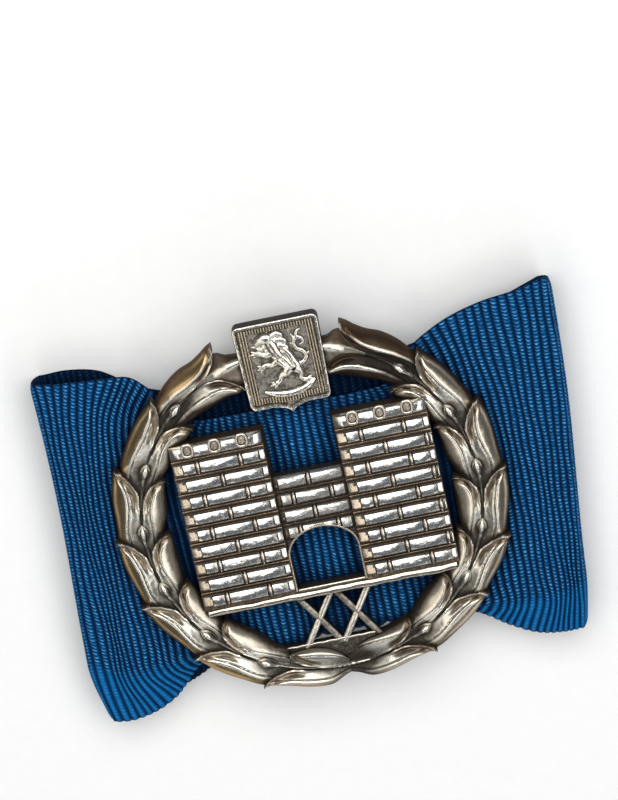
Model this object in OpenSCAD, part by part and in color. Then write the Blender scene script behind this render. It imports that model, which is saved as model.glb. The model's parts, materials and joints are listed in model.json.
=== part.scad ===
// Merit badge: a struck and pierced silver badge on a flat bow of ribbed ribbon, lying on its back.
// It shows a castle gate in a laurel wreath, with a small shield on top and two crosses below.
// Millimetres. +Z points out of the face, +Y to the shield, +X to the right as it is looked at.
// The origin is on the surface that it lies on, under the middle of its box.

/* [Badge] */
// Radius of the line along the middle of the laurel wreath
wreath_r = 16.6; // [16.2:0.1:17]
// Thickness of the silver at the faces of the towers
badge_t = 2.5; // [2.3:0.1:2.8]
// Height of the badge's back above the surface that the whole lies on
back_z = 5.4; // [5.4:0.1:6]

/* [Castle] */
// Width of one tower
tower_w = 9.2; // [8.8:0.1:9.4]
// Width of the open space between the towers
gate_w = 7.1; // [6.6:0.1:7.3]
// Height of a tower above the base bar
tower_h = 17.3; // [16.6:0.1:17.5]
// Number of stone courses in a tower
courses = 10; // [9:1:11]
// Height of the arch above the base bar
arch_h = 6.2; // [5.4:0.1:6.6]

/* [Shield] */
// Width of the shield at its top
shield_w = 8.5; // [8:0.1:9]
// Height of the shield from its top to the point at its foot
shield_h = 9.4; // [9:0.1:9.8]
// Number of upright hatch lines across the field
hatch_count = 17; // [12:1:20]

/* [Ribbon] */
// Thickness of the ribbon's wall
ribbon_t = 1; // [1:0.05:1.1]

/* [Brooch pin] */
// Length of the bar behind the ribbon
bar_len = 19; // [17:0.5:19.5]
// Width of the bar
bar_w = 4; // [3:0.5:5]
// Thickness of the bar
bar_t = 0.8; // [0.6:0.1:0.8]
// Diameter of the needle
needle_d = 0.9; // [0.7:0.1:1]
// Diameter of the two posts that carry the badge
post_d = 1.4; // [1.2:0.1:1.6]

/* [Hidden] */

// Heights of the struck relief
face_z = back_z + badge_t;
// How far pieces that are joined run into each other
seat = 0.05;
// The wreath, the gate wall and the crosses are a little thinner than the towers: heights of their
// backs above the towers' backs
wreath_back = 0.1;
wall_back = 0.15;
cross_back = 0.2;

// Wreath: its centre is a little below the middle of the castle
wreath_mid = [-0.05, -0.4];
tip_gap = 1.2;
stem_end = 172;
// One row a pair of leaves, from the foot up: the angle of the tips on the left and on the right,
// from straight down, then how far the outer and the inner tip lie from the wreath's middle line
leaf_pairs = [
    [26.2, 28.0, 2.6, 2.4],
    [48.5, 51.5, 2.8, 2.3],
    [70.5, 70.5, 3.0, 2.4],
    [91.3, 91.5, 2.8, 2.6],
    [113.5, 113.5, 3.1, 2.1],
    [137.5, 136.0, 2.5, 2.5],
    [160.5, 159.5, 2.8, 2.7]
];
// Sections along one pair of leaves. Columns: share of the way to the tips; edge, ridge and valley
// as distances from the middle line; heights of edge, ridge, valley and bud above the back
leaf_sections = [
    [0.0, 1.75, 0.95, 0.5, 0.85, 1.3, 0.95, 1.7],
    [0.14, 2.3, 1.15, 0.45, 0.95, 1.55, 0.95, 1.5],
    [0.34, 2.55, 1.35, 0.35, 1.0, 1.75, 0.9, 0.95],
    [0.6, 2.6, 1.6, 0.45, 1.05, 1.9, 0.9, 0.9],
    [0.82, 2.5, 1.9, 0.95, 1.15, 1.95, 0.95, 1.2],
    [1.0, 2.9, 2.5, 0.8, 1.4, 1.8, 1.0, 1.75]
];
// How far the ridges, valleys and bud lag behind the edges, which makes the tips stand ahead
ridge_lag = 1.5;
valley_lag = 5.5;
bud_lag = 7;
// Share of the first pair's length over which the lag grows from nothing
full_lag = 0.6;
// Least distance from an edge in to its ridge
ridge_in = 0.3;
// The foot of the wreath is a full leaf wide on its inner side, and so is the stem by the shield
foot_inner = 2.7;
stem_outer = 1.1;
stem_inner = 2.75;
stem_section = [0, 1.2, 0.75, 0.3, 0.8, 1.3, 0.85, 1.1];

// Castle: the two towers mirror each other about castle_x
castle_x = 0.3;
castle_y = -8.3;
course_h = tower_h / courses;
groove = 0.42;
bead_w = 0.12;
bead_rise = 0.18;
stone_rise = 0.55;
stone_wall = 0.12;
stone_bevel = 0.3;
side_bevel = 0.9;
joint_gap = 0.5;
joint_w = 0.3;
barrel_in = 0.1;
course_z = face_z - stone_rise;
// Upright joints, measured out from the castle's middle line: one list for even courses, one for odd
even_joints = [6.0, 10.25];
odd_joints = [8.1, 12.2];
boss_x = [5.5, 8.2, 10.9];
boss_size = [1.05, 1.3];
boss_rim = 0.22;
boss_over = 0.15;
wall_drop = 0.5;
wall_courses = 4;
wall_odd_joints = [-2, 2];
arch_side = 0.15;
arch_w = gate_w - 2 * arch_side;
arch_curve = 2.6;
arch_rim = 0.28;
arch_rim_drop = 0.15;
arch_past = 1;
bar_y0 = -9.3;
bar_y1 = -8.2;
bar_reach = 12.6;
bar_rise = 2.1;
bar_bevel = 0.28;

// Crosses under the bar
cross_top = -9.1;
cross_foot = -14.5;
cross_x = [-1.98, 1.78];
cross_half_w = 1.75;
strut_w = 0.55;
strut_rise = 1.25;
strut_side = 0.65;
strut_ridge = 0.2;

// Shield
shield_x = 0.3;
shield_top = 19.3;
shield_taper = 0.25;
shield_corner = 0.6;
corner_step = 22.5;
shield_foot_rise = 0.75;
// Curve at the shield's foot: [x, height above the foot of its straight sides]
shield_foot = [[1.7, 0], [0.6, -0.3], [0, -0.75], [-0.6, -0.3], [-1.7, 0]];
shield_rise = 1.55;
shield_rim = 0.34;
rim_rise = 0.25;
hatch_w = 0.14;
hatch_rise = 0.1;
hatch_side = 0.2;
hatch_low = 1.25;
hatch_top = 0.45;
figure_rise = 0.42;
figure_low = 0.25;
figure_bevel = 0.09;
// Limbs of the small standing beast, in the shield's own frame from the middle of its top:
// each limb is a row of [x, y, radius] from the body out
beast = [
    [[-0.65, -2.55, 0.8], [-1.55, -2.35, 0.55], [-2.15, -2.55, 0.3]],
    [[-0.65, -2.55, 0.8], [-0.2, -3.4, 0.72], [0.2, -4.2, 0.52], [0.75, -5.1, 0.72]],
    [[-0.5, -3.3, 0.36], [-1.7, -3.5, 0.26], [-2.45, -3.0, 0.28]],
    [[-0.2, -3.9, 0.34], [-1.4, -4.45, 0.24], [-2.3, -4.5, 0.28]],
    [[0.5, -5.2, 0.5], [-0.6, -5.6, 0.3], [-0.75, -6.4, 0.22], [-1.6, -6.55, 0.28]],
    [[1.0, -5.3, 0.5], [1.75, -6.0, 0.3], [1.35, -6.7, 0.22], [2.3, -6.95, 0.28]],
    [[1.2, -4.7, 0.24], [2.1, -4.5, 0.2], [2.55, -3.7, 0.18], [1.95, -3.0, 0.17], [2.2, -2.2, 0.3]]
];
ground_r = 6.5;
ground_w = 0.5;
ground_turn = 21;
ground_steps = 3;
ground_y = -1.2;

// Ribbon: the front of the loop, one row a line across it from the left fold to the right fold.
// Columns: top edge, upper gather line, lower gather line, bottom edge, each [x, y, z]
front = [
    [[-24.0, 16.9, 4.9], [-24.2, 9.5, 5.0], [-24.4, -13.0, 5.0], [-23.9, -18.9, 4.6]],
    [[-21.3, 17.1, 5.0], [-21.4, 9.5, 5.1], [-21.4, -14.0, 5.1], [-21.1, -19.2, 4.4]],
    [[-18.4, 17.0, 5.0], [-18.9, 9.5, 5.1], [-18.9, -14.1, 5.1], [-18.8, -17.7, 4.2]],
    [[-16.2, 16.4, 5.0], [-17.2, 9.5, 5.1], [-16.9, -14.1, 5.1], [-16.4, -15.9, 4.2]],
    [[-14.0, 15.5, 4.9], [-15.5, 9.5, 5.1], [-15.0, -13.9, 5.1], [-14.5, -14.7, 4.4]],
    [[-12.3, 13.9, 4.8], [-13.9, 9.4, 5.1], [-13.2, -13.7, 5.0], [-12.9, -14.1, 4.6]],
    [[-9.8, 10.2, 4.7], [-10.6, 9.0, 5.1], [-10.4, -13.6, 5.0], [-10.4, -13.9, 4.7]],
    [[-6.6, 10.1, 4.8], [-6.6, 9.0, 5.1], [-6.6, -13.6, 5.1], [-6.6, -13.9, 4.8]],
    [[0.0, 10.1, 4.8], [0.0, 9.0, 5.1], [0.0, -13.6, 5.1], [0.0, -13.9, 4.8]],
    [[6.6, 9.9, 4.8], [6.6, 9.0, 5.1], [6.6, -13.6, 5.1], [6.6, -13.9, 4.8]],
    [[10.2, 9.9, 4.7], [10.8, 9.0, 5.1], [10.4, -13.8, 5.0], [10.4, -14.1, 4.7]],
    [[12.7, 13.4, 4.8], [14.1, 9.4, 5.1], [13.5, -14.5, 5.0], [13.3, -15.0, 4.6]],
    [[14.5, 14.7, 4.9], [15.9, 9.5, 5.1], [15.3, -14.8, 5.1], [14.9, -16.4, 4.4]],
    [[17.0, 15.6, 5.0], [18.0, 9.5, 5.1], [17.5, -14.9, 5.1], [16.9, -17.8, 4.2]],
    [[20.0, 16.1, 5.0], [20.6, 9.5, 5.1], [19.9, -14.9, 5.1], [19.6, -18.8, 4.2]],
    [[23.4, 16.4, 5.0], [23.4, 9.5, 5.1], [22.3, -14.6, 5.1], [21.8, -19.2, 4.4]],
    [[26.3, 16.8, 4.9], [25.9, 9.5, 5.0], [23.9, -13.0, 5.0], [23.0, -19.2, 4.6]]
];
// Ribbon: the back of the loop, from the right fold to the left fold.
// Columns: x at the top edge, x at the bottom edge, y of the top edge, y of the bottom edge, z
back = [
    [25.6, 22.8, 16.2, -19.1, 0.0],
    [22.0, 20.5, 15.0, -18.9, 0.0],
    [18.0, 17.5, 13.8, -18.4, 0.0],
    [14.6, 14.6, 12.9, -17.0, 0.8],
    [11.6, 11.6, 12.7, -14.8, 2.4],
    [10.2, 10.2, 12.6, -14.3, 2.7],
    [0.0, 0.0, 12.8, -14.3, 2.7],
    [-10.2, -10.2, 13.0, -14.3, 2.7],
    [-11.6, -11.6, 13.1, -14.8, 2.4],
    [-14.6, -14.6, 13.8, -17.0, 0.8],
    [-18.0, -18.0, 15.8, -18.4, 0.0],
    [-21.0, -21.0, 16.5, -18.8, 0.0],
    [-23.4, -23.4, 16.5, -18.8, 0.0]
];
// How far each fold bulges past the lines at its two ends, and the lines across it
fold_bulge = 0.55;
fold_steps = 6;
// Steps across the ribbon: top edge to gather, between the gathers, gather to bottom edge
across = [2, 4, 2];
gather_in = 5.5;
gather_share = 0.2;

// Brooch pin: one plain piece behind the ribbon
bar_z = 1.6;
pin_y = 4;
post_x = 8;
hinge_x = 7.9;
hinge_size = [2.4, 3];
needle_z = 0.75;
needle_past = 1.6;
tip_len = 2;
needle_tip_d = 0.2;
hole_gap = 0.3;
ribbon_hole_d = post_d + 2 * hole_gap;

// The middle of the whole in plan, which the origin is under
mid_x = 0.937;
mid_y = -0.01;

function mix(a, b, t) = a + (b - a) * t;
function on_ring(angle, r, z) = [r * sin(angle), -r * cos(angle), z];

// A closed solid through a row of rings of points; a closed row joins its last ring to its first
module skin(rings, closed = false) {
    n = len(rings);
    m = len(rings[0]);
    points = [for (ring = rings) each ring];
    sides = [
        for (i = [0 : n - (closed ? 1 : 2)])
            for (j = [0 : m - 1])
                let (a = i * m, b = ((i + 1) % n) * m, k = (j + 1) % m)
                    each [[a + j, a + k, b + k], [a + j, b + k, b + j]]
    ];
    ends = closed ? [] : [[for (j = [m - 1 : -1 : 0]) j], [for (j = [0 : m - 1]) (n - 1) * m + j]];
    polyhedron(points, concat(sides, ends), convexity = 8);
}

// Ring of points across a branch: down the outer side, over both leaves and the bud between them,
// and down the inner side. The side is -1 on the left and 1 on the right
function across_branch(side, angle, row, outer, inner, lag = 1) = [
    for (p = [
        [outer, wreath_back, 0],
        [outer, row[4], 0],
        [min(row[2], outer - ridge_in), row[5], ridge_lag],
        [row[3], row[6], valley_lag],
        [0, row[7], bud_lag],
        [-row[3], row[6], valley_lag],
        [-min(row[2], inner - ridge_in), row[5], ridge_lag],
        [-inner, row[4], 0],
        [-inner, wreath_back, 0]
    ])
        on_ring(side * (angle - lag * p[2]), wreath_r + p[0], back_z + p[1])
];

// One side of the wreath: pairs of leaves from the foot up, each from the last pair's tips to its
// own, then the bare stem that runs under the shield. The tips replace the edge where they are given
function branch(side) =
    let (
        column = side < 0 ? 0 : 1,
        last = leaf_pairs[len(leaf_pairs) - 1][column]
    )
    [
        for (k = [0 : len(leaf_pairs) - 1])
            let (
                pair = leaf_pairs[k],
                start = k == 0 ? 0 : leaf_pairs[k - 1][column] + tip_gap
            )
            for (row = leaf_sections)
                across_branch(
                    side,
                    mix(start, pair[column], row[0]),
                    row,
                    row[0] == 1 ? pair[2] : row[1],
                    row[0] == 1 ? pair[3] : k == 0 ? foot_inner : row[1],
                    k == 0 ? min(1, row[0] / full_lag) : 1
                ),
        for (angle = [last + tip_gap, stem_end])
            across_branch(side, angle, stem_section, stem_outer, stem_inner)
    ];

// The two sides share the ring at the foot
module wreath() {
    left = branch(-1);
    translate([wreath_mid[0], wreath_mid[1], 0])
        skin(concat([for (i = [len(left) - 1 : -1 : 1]) left[i]], branch(1)));
}

// One stone: a block with bevelled edges, steeper at a tower's side than at a joint
module stone(x0, x1, y0, y1, in0, in1, top) {
    hull() {
        translate([x0, y0, top - stone_rise - seat])
            cube([x1 - x0, y1 - y0, seat + stone_wall]);
        translate([x0 + in0, y0 + stone_bevel, top - stone_rise])
            cube([x1 - x0 - in0 - in1, y1 - y0 - 2 * stone_bevel, stone_rise]);
    }
}

// A course from x0 to x1 with upright joints at the given places, each with a barrel in its gap
module course(x0, x1, y0, joints, in0, in1, top) {
    y1 = y0 + course_h - groove;
    inner = [for (j = joints) if (j > x0 + joint_gap && j < x1 - joint_gap) j];
    last = len(inner);
    for (i = [0 : last]) {
        xa = i == 0 ? x0 : inner[i - 1] + joint_gap / 2;
        xb = i == last ? x1 : inner[i] - joint_gap / 2;
        near_end = min(i == last ? in1 : stone_bevel / 2, (xb - xa) / 3);
        near_start = min(i == 0 ? in0 : stone_bevel / 2, (xb - xa) / 3);
        stone(xa, xb, y0, y1, near_start, near_end, top);
    }
    for (j = inner)
        translate([j - joint_w / 2, y0 + barrel_in, top - stone_rise - seat])
            cube([joint_w, y1 - y0 - 2 * barrel_in, stone_rise + seat - barrel_in]);
}

// Oval boss in the top course: a raised rim round a lower middle
module boss(x, y) {
    ratio = boss_size[1] / boss_size[0];
    translate([x, y, course_z - seat])
        scale([1, ratio, 1])
            linear_extrude(stone_rise + boss_over + seat)
                difference() {
                    circle(d = boss_size[0], $fn = 16);
                    circle(d = boss_size[0] - 2 * boss_rim, $fn = 12);
                }
}

// The right tower, whose inner side is at gate_w / 2 from the castle's middle line
module tower() {
    x0 = gate_w / 2;
    x1 = x0 + tower_w;
    y0 = castle_y;
    translate([x0, y0, back_z])
        cube([tower_w, tower_h - groove / 2, course_z - back_z]);
    for (k = [0 : courses - 2]) {
        joints = k % 2 == 0 ? even_joints : odd_joints;
        course(x0, x1, y0 + k * course_h + groove / 2, joints, side_bevel, side_bevel, face_z);
        translate([x0, y0 + (k + 1) * course_h - bead_w / 2, course_z - seat])
            cube([tower_w, bead_w, bead_rise + seat]);
    }
    top_y = y0 + (courses - 1) * course_h + groove / 2;
    course(x0, x1, top_y, [], side_bevel, side_bevel, face_z);
    for (x = boss_x)
        boss(x, top_y + (course_h - groove) / 2);
}

module arch_shape(grow = 0) {
    w = arch_w + 2 * grow;
    spring = arch_h - arch_curve;
    translate([-w / 2, -arch_past])
        square([w, spring + arch_past]);
    translate([0, spring])
        scale([1, (arch_curve + grow) / (w / 2)])
            circle(d = w, $fn = 40);
}

// The lower wall between the towers, pierced by the arch
module gate_wall() {
    top = face_z - wall_drop;
    y0 = castle_y;
    first = courses - 3 - wall_courses;
    wall_h = (first + wall_courses) * course_h - groove / 2;
    half = gate_w / 2 + seat;
    difference() {
        union() {
            translate([-half, y0, back_z + wall_back])
                cube([2 * half, wall_h, top - stone_rise - back_z - wall_back]);
            for (k = [first : first + wall_courses - 1]) {
                joints = (k - first) % 2 == 1 ? [0] : wall_odd_joints;
                course(-half, half, y0 + k * course_h + groove / 2, joints, seat, seat, top);
            }
        }
        translate([0, y0, back_z])
            linear_extrude(badge_t)
                arch_shape();
    }
    translate([0, y0, back_z + 2 * wall_back])
        linear_extrude(top - arch_rim_drop - back_z - 2 * wall_back)
            intersection() {
                difference() {
                    arch_shape(arch_rim);
                    arch_shape();
                }
                translate([-half, 0])
                    square([2 * half, arch_h + arch_past]);
            }
}

module base_bar() {
    for (step = [0, 1]) {
        inset = step * bar_bevel;
        translate([castle_x - bar_reach + inset, bar_y0 + inset, back_z + step * bar_rise / 2])
            cube([
                2 * (bar_reach - inset),
                bar_y1 - bar_y0 - 2 * inset,
                step == 0 ? bar_rise - bar_bevel : bar_rise / 2
            ]);
    }
}

// Both crosses as flat strips of width w
module cross_strips(w) {
    for (x = cross_x)
        for (dir = [-1, 1])
            hull()
                for (p = [[-dir, cross_top], [dir, cross_foot]])
                    translate([x + p[0] * cross_half_w, p[1]])
                        square([w, w / 2], center = true);
}

// The crosses, with a ridge along each strut
module crosses() {
    translate([castle_x, 0, back_z + cross_back]) {
        linear_extrude(strut_rise * strut_side - cross_back)
            cross_strips(strut_w);
        translate([0, 0, (strut_rise - cross_back) / 2])
            linear_extrude((strut_rise - cross_back) / 2)
                cross_strips(strut_ridge);
    }
}

// Quarter of a circle about the point [x, y], clockwise from the given angle
function corner(x, y, r, from) = [
    for (angle = [from : -corner_step : from - 90]) [x + r * cos(angle), y + r * sin(angle)]
];

// Outline of the shield from the middle of its top edge: flat top, rounded corners, sides that draw
// in slightly and a small point at the foot
module shield_outline(inset = 0) {
    half = shield_w / 2 - inset;
    low = -shield_h + shield_foot_rise + inset;
    r = shield_corner - inset / 2;
    polygon(concat(
        corner(half - r, -inset - r, r, 90),
        corner(half - shield_taper - r, low + r, r, 0),
        [for (p = shield_foot) [p[0], low + p[1]]],
        corner(-half + shield_taper + r, low + r, r, -90),
        corner(-half + r, -inset - r, r, 180)
    ));
}

// One limb as a flat outline, drawn in by the given amount
module limb(points, draw_in) {
    for (i = [0 : len(points) - 2])
        hull()
            for (p = [points[i], points[i + 1]])
                translate([p[0], p[1]])
                    circle(r = p[2] - draw_in, $fn = 10);
}

// The beast and the curved strip of ground, as a flat outline
module figure(draw_in = 0) {
    step = ground_turn * (1 - draw_in) / ground_steps;
    for (points = beast)
        limb(points, draw_in);
    translate([0, ground_y])
        polygon(concat(
            [for (i = [-ground_steps : ground_steps])
                (ground_r - draw_in) * [sin(i * step), -cos(i * step)]],
            [for (i = [ground_steps : -1 : -ground_steps])
                (ground_r - ground_w + draw_in) * [sin(i * step), -cos(i * step)]]
        ));
}

module shield() {
    pitch = (shield_w - 2 * shield_rim - 2 * hatch_side) / hatch_count;
    translate([shield_x, shield_top, back_z]) {
        difference() {
            linear_extrude(shield_rise + rim_rise)
                shield_outline();
            translate([0, 0, shield_rise])
                linear_extrude(2 * rim_rise)
                    shield_outline(shield_rim);
        }
        translate([0, 0, shield_rise - seat]) {
            for (i = [0 : hatch_count - 1])
                translate([(i - (hatch_count - 1) / 2) * pitch - hatch_w / 2, -shield_h + hatch_low, 0])
                    cube([hatch_w, shield_h - hatch_low - hatch_top, hatch_rise + seat]);
            linear_extrude(figure_low + seat)
                figure();
            translate([0, 0, figure_low / 2])
                linear_extrude(figure_rise + seat - figure_low / 2)
                    figure(figure_bevel);
        }
    }
}

module badge() {
    color("silver")
        to_middle()
            union() {
                wreath();
                translate([castle_x, 0, 0]) {
                    tower();
                    mirror([1, 0, 0]) tower();
                    gate_wall();
                }
                base_bar();
                crosses();
                shield();
            }
}

// Points across one line of the ribbon, through its four points
function line_across(row) = [
    for (part = [0 : 2])
        for (j = [0 : across[part] - 1])
            mix(row[part], row[part + 1], j / across[part]),
    row[3]
];

// A line across the back, in the same form as a row of the front table
function back_row(b) = [
    [b[0], b[2], b[4]],
    [mix(b[0], b[1], gather_share), b[2] - gather_in, b[4]],
    [mix(b[0], b[1], 1 - gather_share), b[3] + gather_in, b[4]],
    [b[1], b[3], b[4]]
];

// Lines round a fold, from row a to row b, bulging out along X in the given direction
function fold(a, b, dir) = [
    for (i = [1 : fold_steps - 1])
        let (t = i / fold_steps, turn = 180 * t)
            [for (k = [0 : 3])
                let (out = max(dir * a[k][0], dir * b[k][0]) + fold_bulge)
                [
                    mix(a[k][0], b[k][0], t) + (dir * out - mix(a[k][0], b[k][0], 0.5)) * sin(turn),
                    mix(a[k][1], b[k][1], t),
                    mix(b[k][2], a[k][2], (1 + cos(turn)) / 2)
                ]]
];

function unit(v) = v / norm(v);

// A ring round the wall at line i: back across the outer face, then over the inner face
function wall_ring(lines, i) =
    let (
        n = len(lines),
        m = len(lines[0]),
        here = lines[i],
        next = lines[(i + 1) % n],
        prev = lines[(i + n - 1) % n],
        inner = [
            for (j = [0 : m - 1])
                let (
                    along = next[j] - prev[j],
                    over = here[min(j + 1, m - 1)] - here[max(j - 1, 0)],
                    normal = unit(cross(over, along))
                )
                here[j] - normal * ribbon_t
        ]
    )
    concat([for (j = [m - 1 : -1 : 0]) here[j]], inner);

module ribbon_bow() {
    backs = [for (b = back) back_row(b)];
    last = len(front) - 1;
    rows = concat(
        front,
        fold(front[last], backs[0], 1),
        backs,
        fold(backs[len(backs) - 1], front[0], -1)
    );
    lines = [for (row = rows) line_across(row)];
    color("royalblue")
        to_middle()
            difference() {
                skin([for (i = [0 : len(lines) - 1]) wall_ring(lines, i)], closed = true);
                for (side = [-1, 1])
                    translate([side * post_x, pin_y, bar_z])
                        cylinder(d = ribbon_hole_d, h = back_z, $fn = 24);
            }
}

module brooch_pin() {
    color("lightsteelblue")
        to_middle()
            translate([0, pin_y, 0]) {
                translate([-bar_len / 2, -bar_w / 2, bar_z])
                    cube([bar_len, bar_w, bar_t]);
                for (side = [-1, 1]) {
                    translate([side * post_x, 0, bar_z + bar_t / 2])
                        cylinder(d = post_d, h = back_z - bar_z - bar_t / 2, $fn = 32);
                    translate([side * hinge_x - hinge_size[0] / 2, -hinge_size[1] / 2, 0])
                        cube([hinge_size[0], hinge_size[1], bar_z + bar_t / 2]);
                }
                translate([-hinge_x, 0, needle_z])
                    rotate([0, 90, 0])
                        cylinder(d = needle_d, h = 2 * hinge_x + needle_past, $fn = 32);
                translate([hinge_x + needle_past, 0, needle_z])
                    rotate([0, 90, 0])
                        cylinder(d1 = needle_d, d2 = needle_tip_d, h = tip_len, $fn = 32);
            }
}

module to_middle() {
    translate([-mid_x, -mid_y, 0])
        children();
}

badge();
ribbon_bow();
brooch_pin();
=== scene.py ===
import json
import math

import bpy
import numpy as np
from mathutils import Matrix, Vector

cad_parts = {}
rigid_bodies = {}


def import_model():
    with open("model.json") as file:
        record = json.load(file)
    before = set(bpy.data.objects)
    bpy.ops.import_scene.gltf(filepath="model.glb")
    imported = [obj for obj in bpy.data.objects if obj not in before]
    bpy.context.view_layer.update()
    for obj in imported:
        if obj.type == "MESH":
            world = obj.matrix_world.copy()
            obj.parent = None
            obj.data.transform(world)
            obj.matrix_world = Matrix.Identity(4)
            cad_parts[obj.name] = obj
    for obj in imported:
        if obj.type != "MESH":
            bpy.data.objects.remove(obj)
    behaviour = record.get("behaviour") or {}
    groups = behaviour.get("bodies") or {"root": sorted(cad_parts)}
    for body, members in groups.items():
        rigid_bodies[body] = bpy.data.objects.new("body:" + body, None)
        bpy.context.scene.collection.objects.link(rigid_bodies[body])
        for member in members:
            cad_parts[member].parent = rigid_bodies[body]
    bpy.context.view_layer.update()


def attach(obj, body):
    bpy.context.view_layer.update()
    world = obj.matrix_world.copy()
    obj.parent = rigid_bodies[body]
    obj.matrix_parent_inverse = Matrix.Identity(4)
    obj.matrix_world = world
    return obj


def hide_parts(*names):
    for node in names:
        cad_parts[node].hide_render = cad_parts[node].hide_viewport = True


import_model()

# The badge lies on a pale table under soft light, and the camera looks down on it steeply, a little
# from the shield's side. The badge is drawn in millimetres about the middle of its castle, and the
# finished pieces are moved to the frame, whose origin is under the middle of the whole.
MM = 0.001
DRAWN_FROM = Vector((0.937, -0.01, 0.0))
TO_FRAME = Matrix.Scale(MM, 4) @ Matrix.Translation(-DRAWN_FROM)
FACE_Z = 7.9
BADGE_TURN = 12
LEAN_BACK = 18


def aim_camera():
    turn, tilt = math.radians(BADGE_TURN), math.radians(LEAN_BACK)
    right = Vector((math.cos(turn), -math.sin(turn), 0))
    up = Vector((
        math.cos(tilt) * math.sin(turn),
        math.cos(tilt) * math.cos(turn),
        -math.sin(tilt),
    ))
    out = right.cross(up)
    distance, picture_height = 600, 78.05
    aim = Vector((0, 0, FACE_Z)) - 0.244 * right + 10.63 * up
    place = TO_FRAME @ (aim + distance * out)
    data = bpy.data.cameras.new("camera")
    data.sensor_fit = "VERTICAL"
    data.sensor_height = 24
    data.lens = 24 * distance / picture_height
    data.clip_start = 0.05
    data.clip_end = 5
    camera = bpy.data.objects.new("camera", data)
    camera.matrix_world = Matrix.Translation(place) @ Matrix((right, up, out)).transposed().to_4x4()
    bpy.context.collection.objects.link(camera)
    bpy.context.scene.camera = camera


def softbox(name, direction, distance, size, power, colour):
    data = bpy.data.lights.new(name, "AREA")
    data.shape = "RECTANGLE"
    data.size, data.size_y = size
    data.energy = power
    data.color = colour
    lamp = bpy.data.objects.new(name, data)
    lamp.location = Vector(direction).normalized() * distance
    lamp.rotation_euler = Vector(direction).to_track_quat("Z", "Y").to_euler()
    bpy.context.collection.objects.link(lamp)


aim_camera()
softbox("softbox_above", (0.05, 0.48, 0.87), 0.55, (0.55, 0.46), 2.7, (1.0, 0.99, 0.97))
softbox("softbox_right", (0.52, -0.2, 0.84), 0.6, (0.75, 0.24), 1.15, (1.0, 0.99, 0.98))
softbox("softbox_left", (-0.52, -0.2, 0.84), 0.6, (0.75, 0.24), 0.9, (1.0, 0.94, 0.85))
softbox("softbox_low", (0.0, -0.9, 0.5), 0.6, (0.5, 0.16), 0.3, (0.9, 0.95, 1.0))
world = bpy.data.worlds.new("studio")
world.use_nodes = True
sky = world.node_tree.nodes["Background"]
sky.inputs["Color"].default_value = (0.51, 0.6, 0.72, 1)
sky.inputs["Strength"].default_value = 0.2
bpy.context.scene.world = world
bpy.context.scene.view_settings.view_transform = "Standard"


class Reading:
    """One socket of a material, so that the shader's sums are written as sums."""

    def __init__(self, finish, socket):
        self.finish = finish
        self.socket = socket

    def sum(self, operation, *values):
        return self.finish.node("Math", {"operation": operation}, dict(enumerate(values)))

    def __add__(self, other):
        return self.sum("ADD", self, other)

    __radd__ = __add__

    def __sub__(self, other):
        return self.sum("SUBTRACT", self, other)

    def __rsub__(self, other):
        return self.sum("SUBTRACT", other, self)

    def __mul__(self, other):
        return self.sum("MULTIPLY", self, other)

    __rmul__ = __mul__

    def __truediv__(self, other):
        return self.sum("DIVIDE", self, other)

    def __pow__(self, other):
        return self.sum("POWER", self, other)

    def sine(self):
        return self.sum("SINE", self)

    def fraction(self):
        return self.sum("FRACT", self)

    def between(self, low, high):
        """0 below low, 1 above high and a soft step between them."""
        return self.finish.node(
            "MapRange",
            {"interpolation_type": "SMOOTHSTEP"},
            {"Value": self, "From Min": low, "From Max": high},
        )


class Finish:
    """A material, made node by node."""

    def __init__(self, name):
        self.material = bpy.data.materials.new(name)
        self.material.use_nodes = True
        self.tree = self.material.node_tree
        self.shader = self.tree.nodes["Principled BSDF"]

    def node(self, kind, settings, sockets, out=0):
        made = self.tree.nodes.new("ShaderNode" + kind)
        for name, value in settings.items():
            setattr(made, name, value)
        for name, value in sockets.items():
            self.feed(made.inputs[name], value)
        return Reading(self, made.outputs[out])

    def feed(self, socket, value):
        if isinstance(value, Reading):
            self.tree.links.new(value.socket, socket)
        else:
            socket.default_value = value

    def set(self, **values):
        for name, value in values.items():
            self.feed(self.shader.inputs[name.replace("_", " ")], value)

    def blend(self, amount, first, second):
        """Mix of two colours, each a colour or a socket."""
        return self.node(
            "Mix",
            {"data_type": "RGBA", "clamp_factor": True},
            {0: amount, 6: first, 7: second},
            out=2,
        )

    def in_mm(self):
        place = self.node("TexCoord", {}, {}, out="Object")
        return self.node("VectorMath", {"operation": "SCALE"}, {0: place, "Scale": 1 / MM})

    def noise(self, place, scale, detail=3.0, rough=0.55):
        return self.node(
            "TexNoise", {}, {"Vector": place, "Scale": scale, "Detail": detail, "Roughness": rough}
        )

    def painted(self, name):
        """What was set on the mesh, point by point, under this name."""
        return self.node("Attribute", {"attribute_name": name}, {}, out="Fac")

    def open_sky(self, reach_mm):
        """1 in the open, falling towards 0 in hollows narrower than the reach."""
        reach = {"Distance": reach_mm * MM}
        return self.node("AmbientOcclusion", {"samples": 8}, reach, out="AO")

    def bump(self, height, depth_mm):
        return self.node("Bump", {}, {"Distance": depth_mm * MM, "Height": height})


def lay_table():
    bpy.ops.object.select_all(action="DESELECT")
    bpy.ops.mesh.primitive_plane_add(size=3)
    table = bpy.context.object
    table.name = "table"
    paper = Finish("pale_paper")
    place = paper.in_mm()
    speck = paper.noise(place, 0.8)
    paper.set(
        Base_Color=paper.blend(speck, (0.86, 0.86, 0.86, 1), (0.9, 0.9, 0.9, 1)),
        Roughness=0.9,
        Normal=paper.bump(speck, 0.02),
    )
    table.data.materials.append(paper.material)


lay_table()


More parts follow.
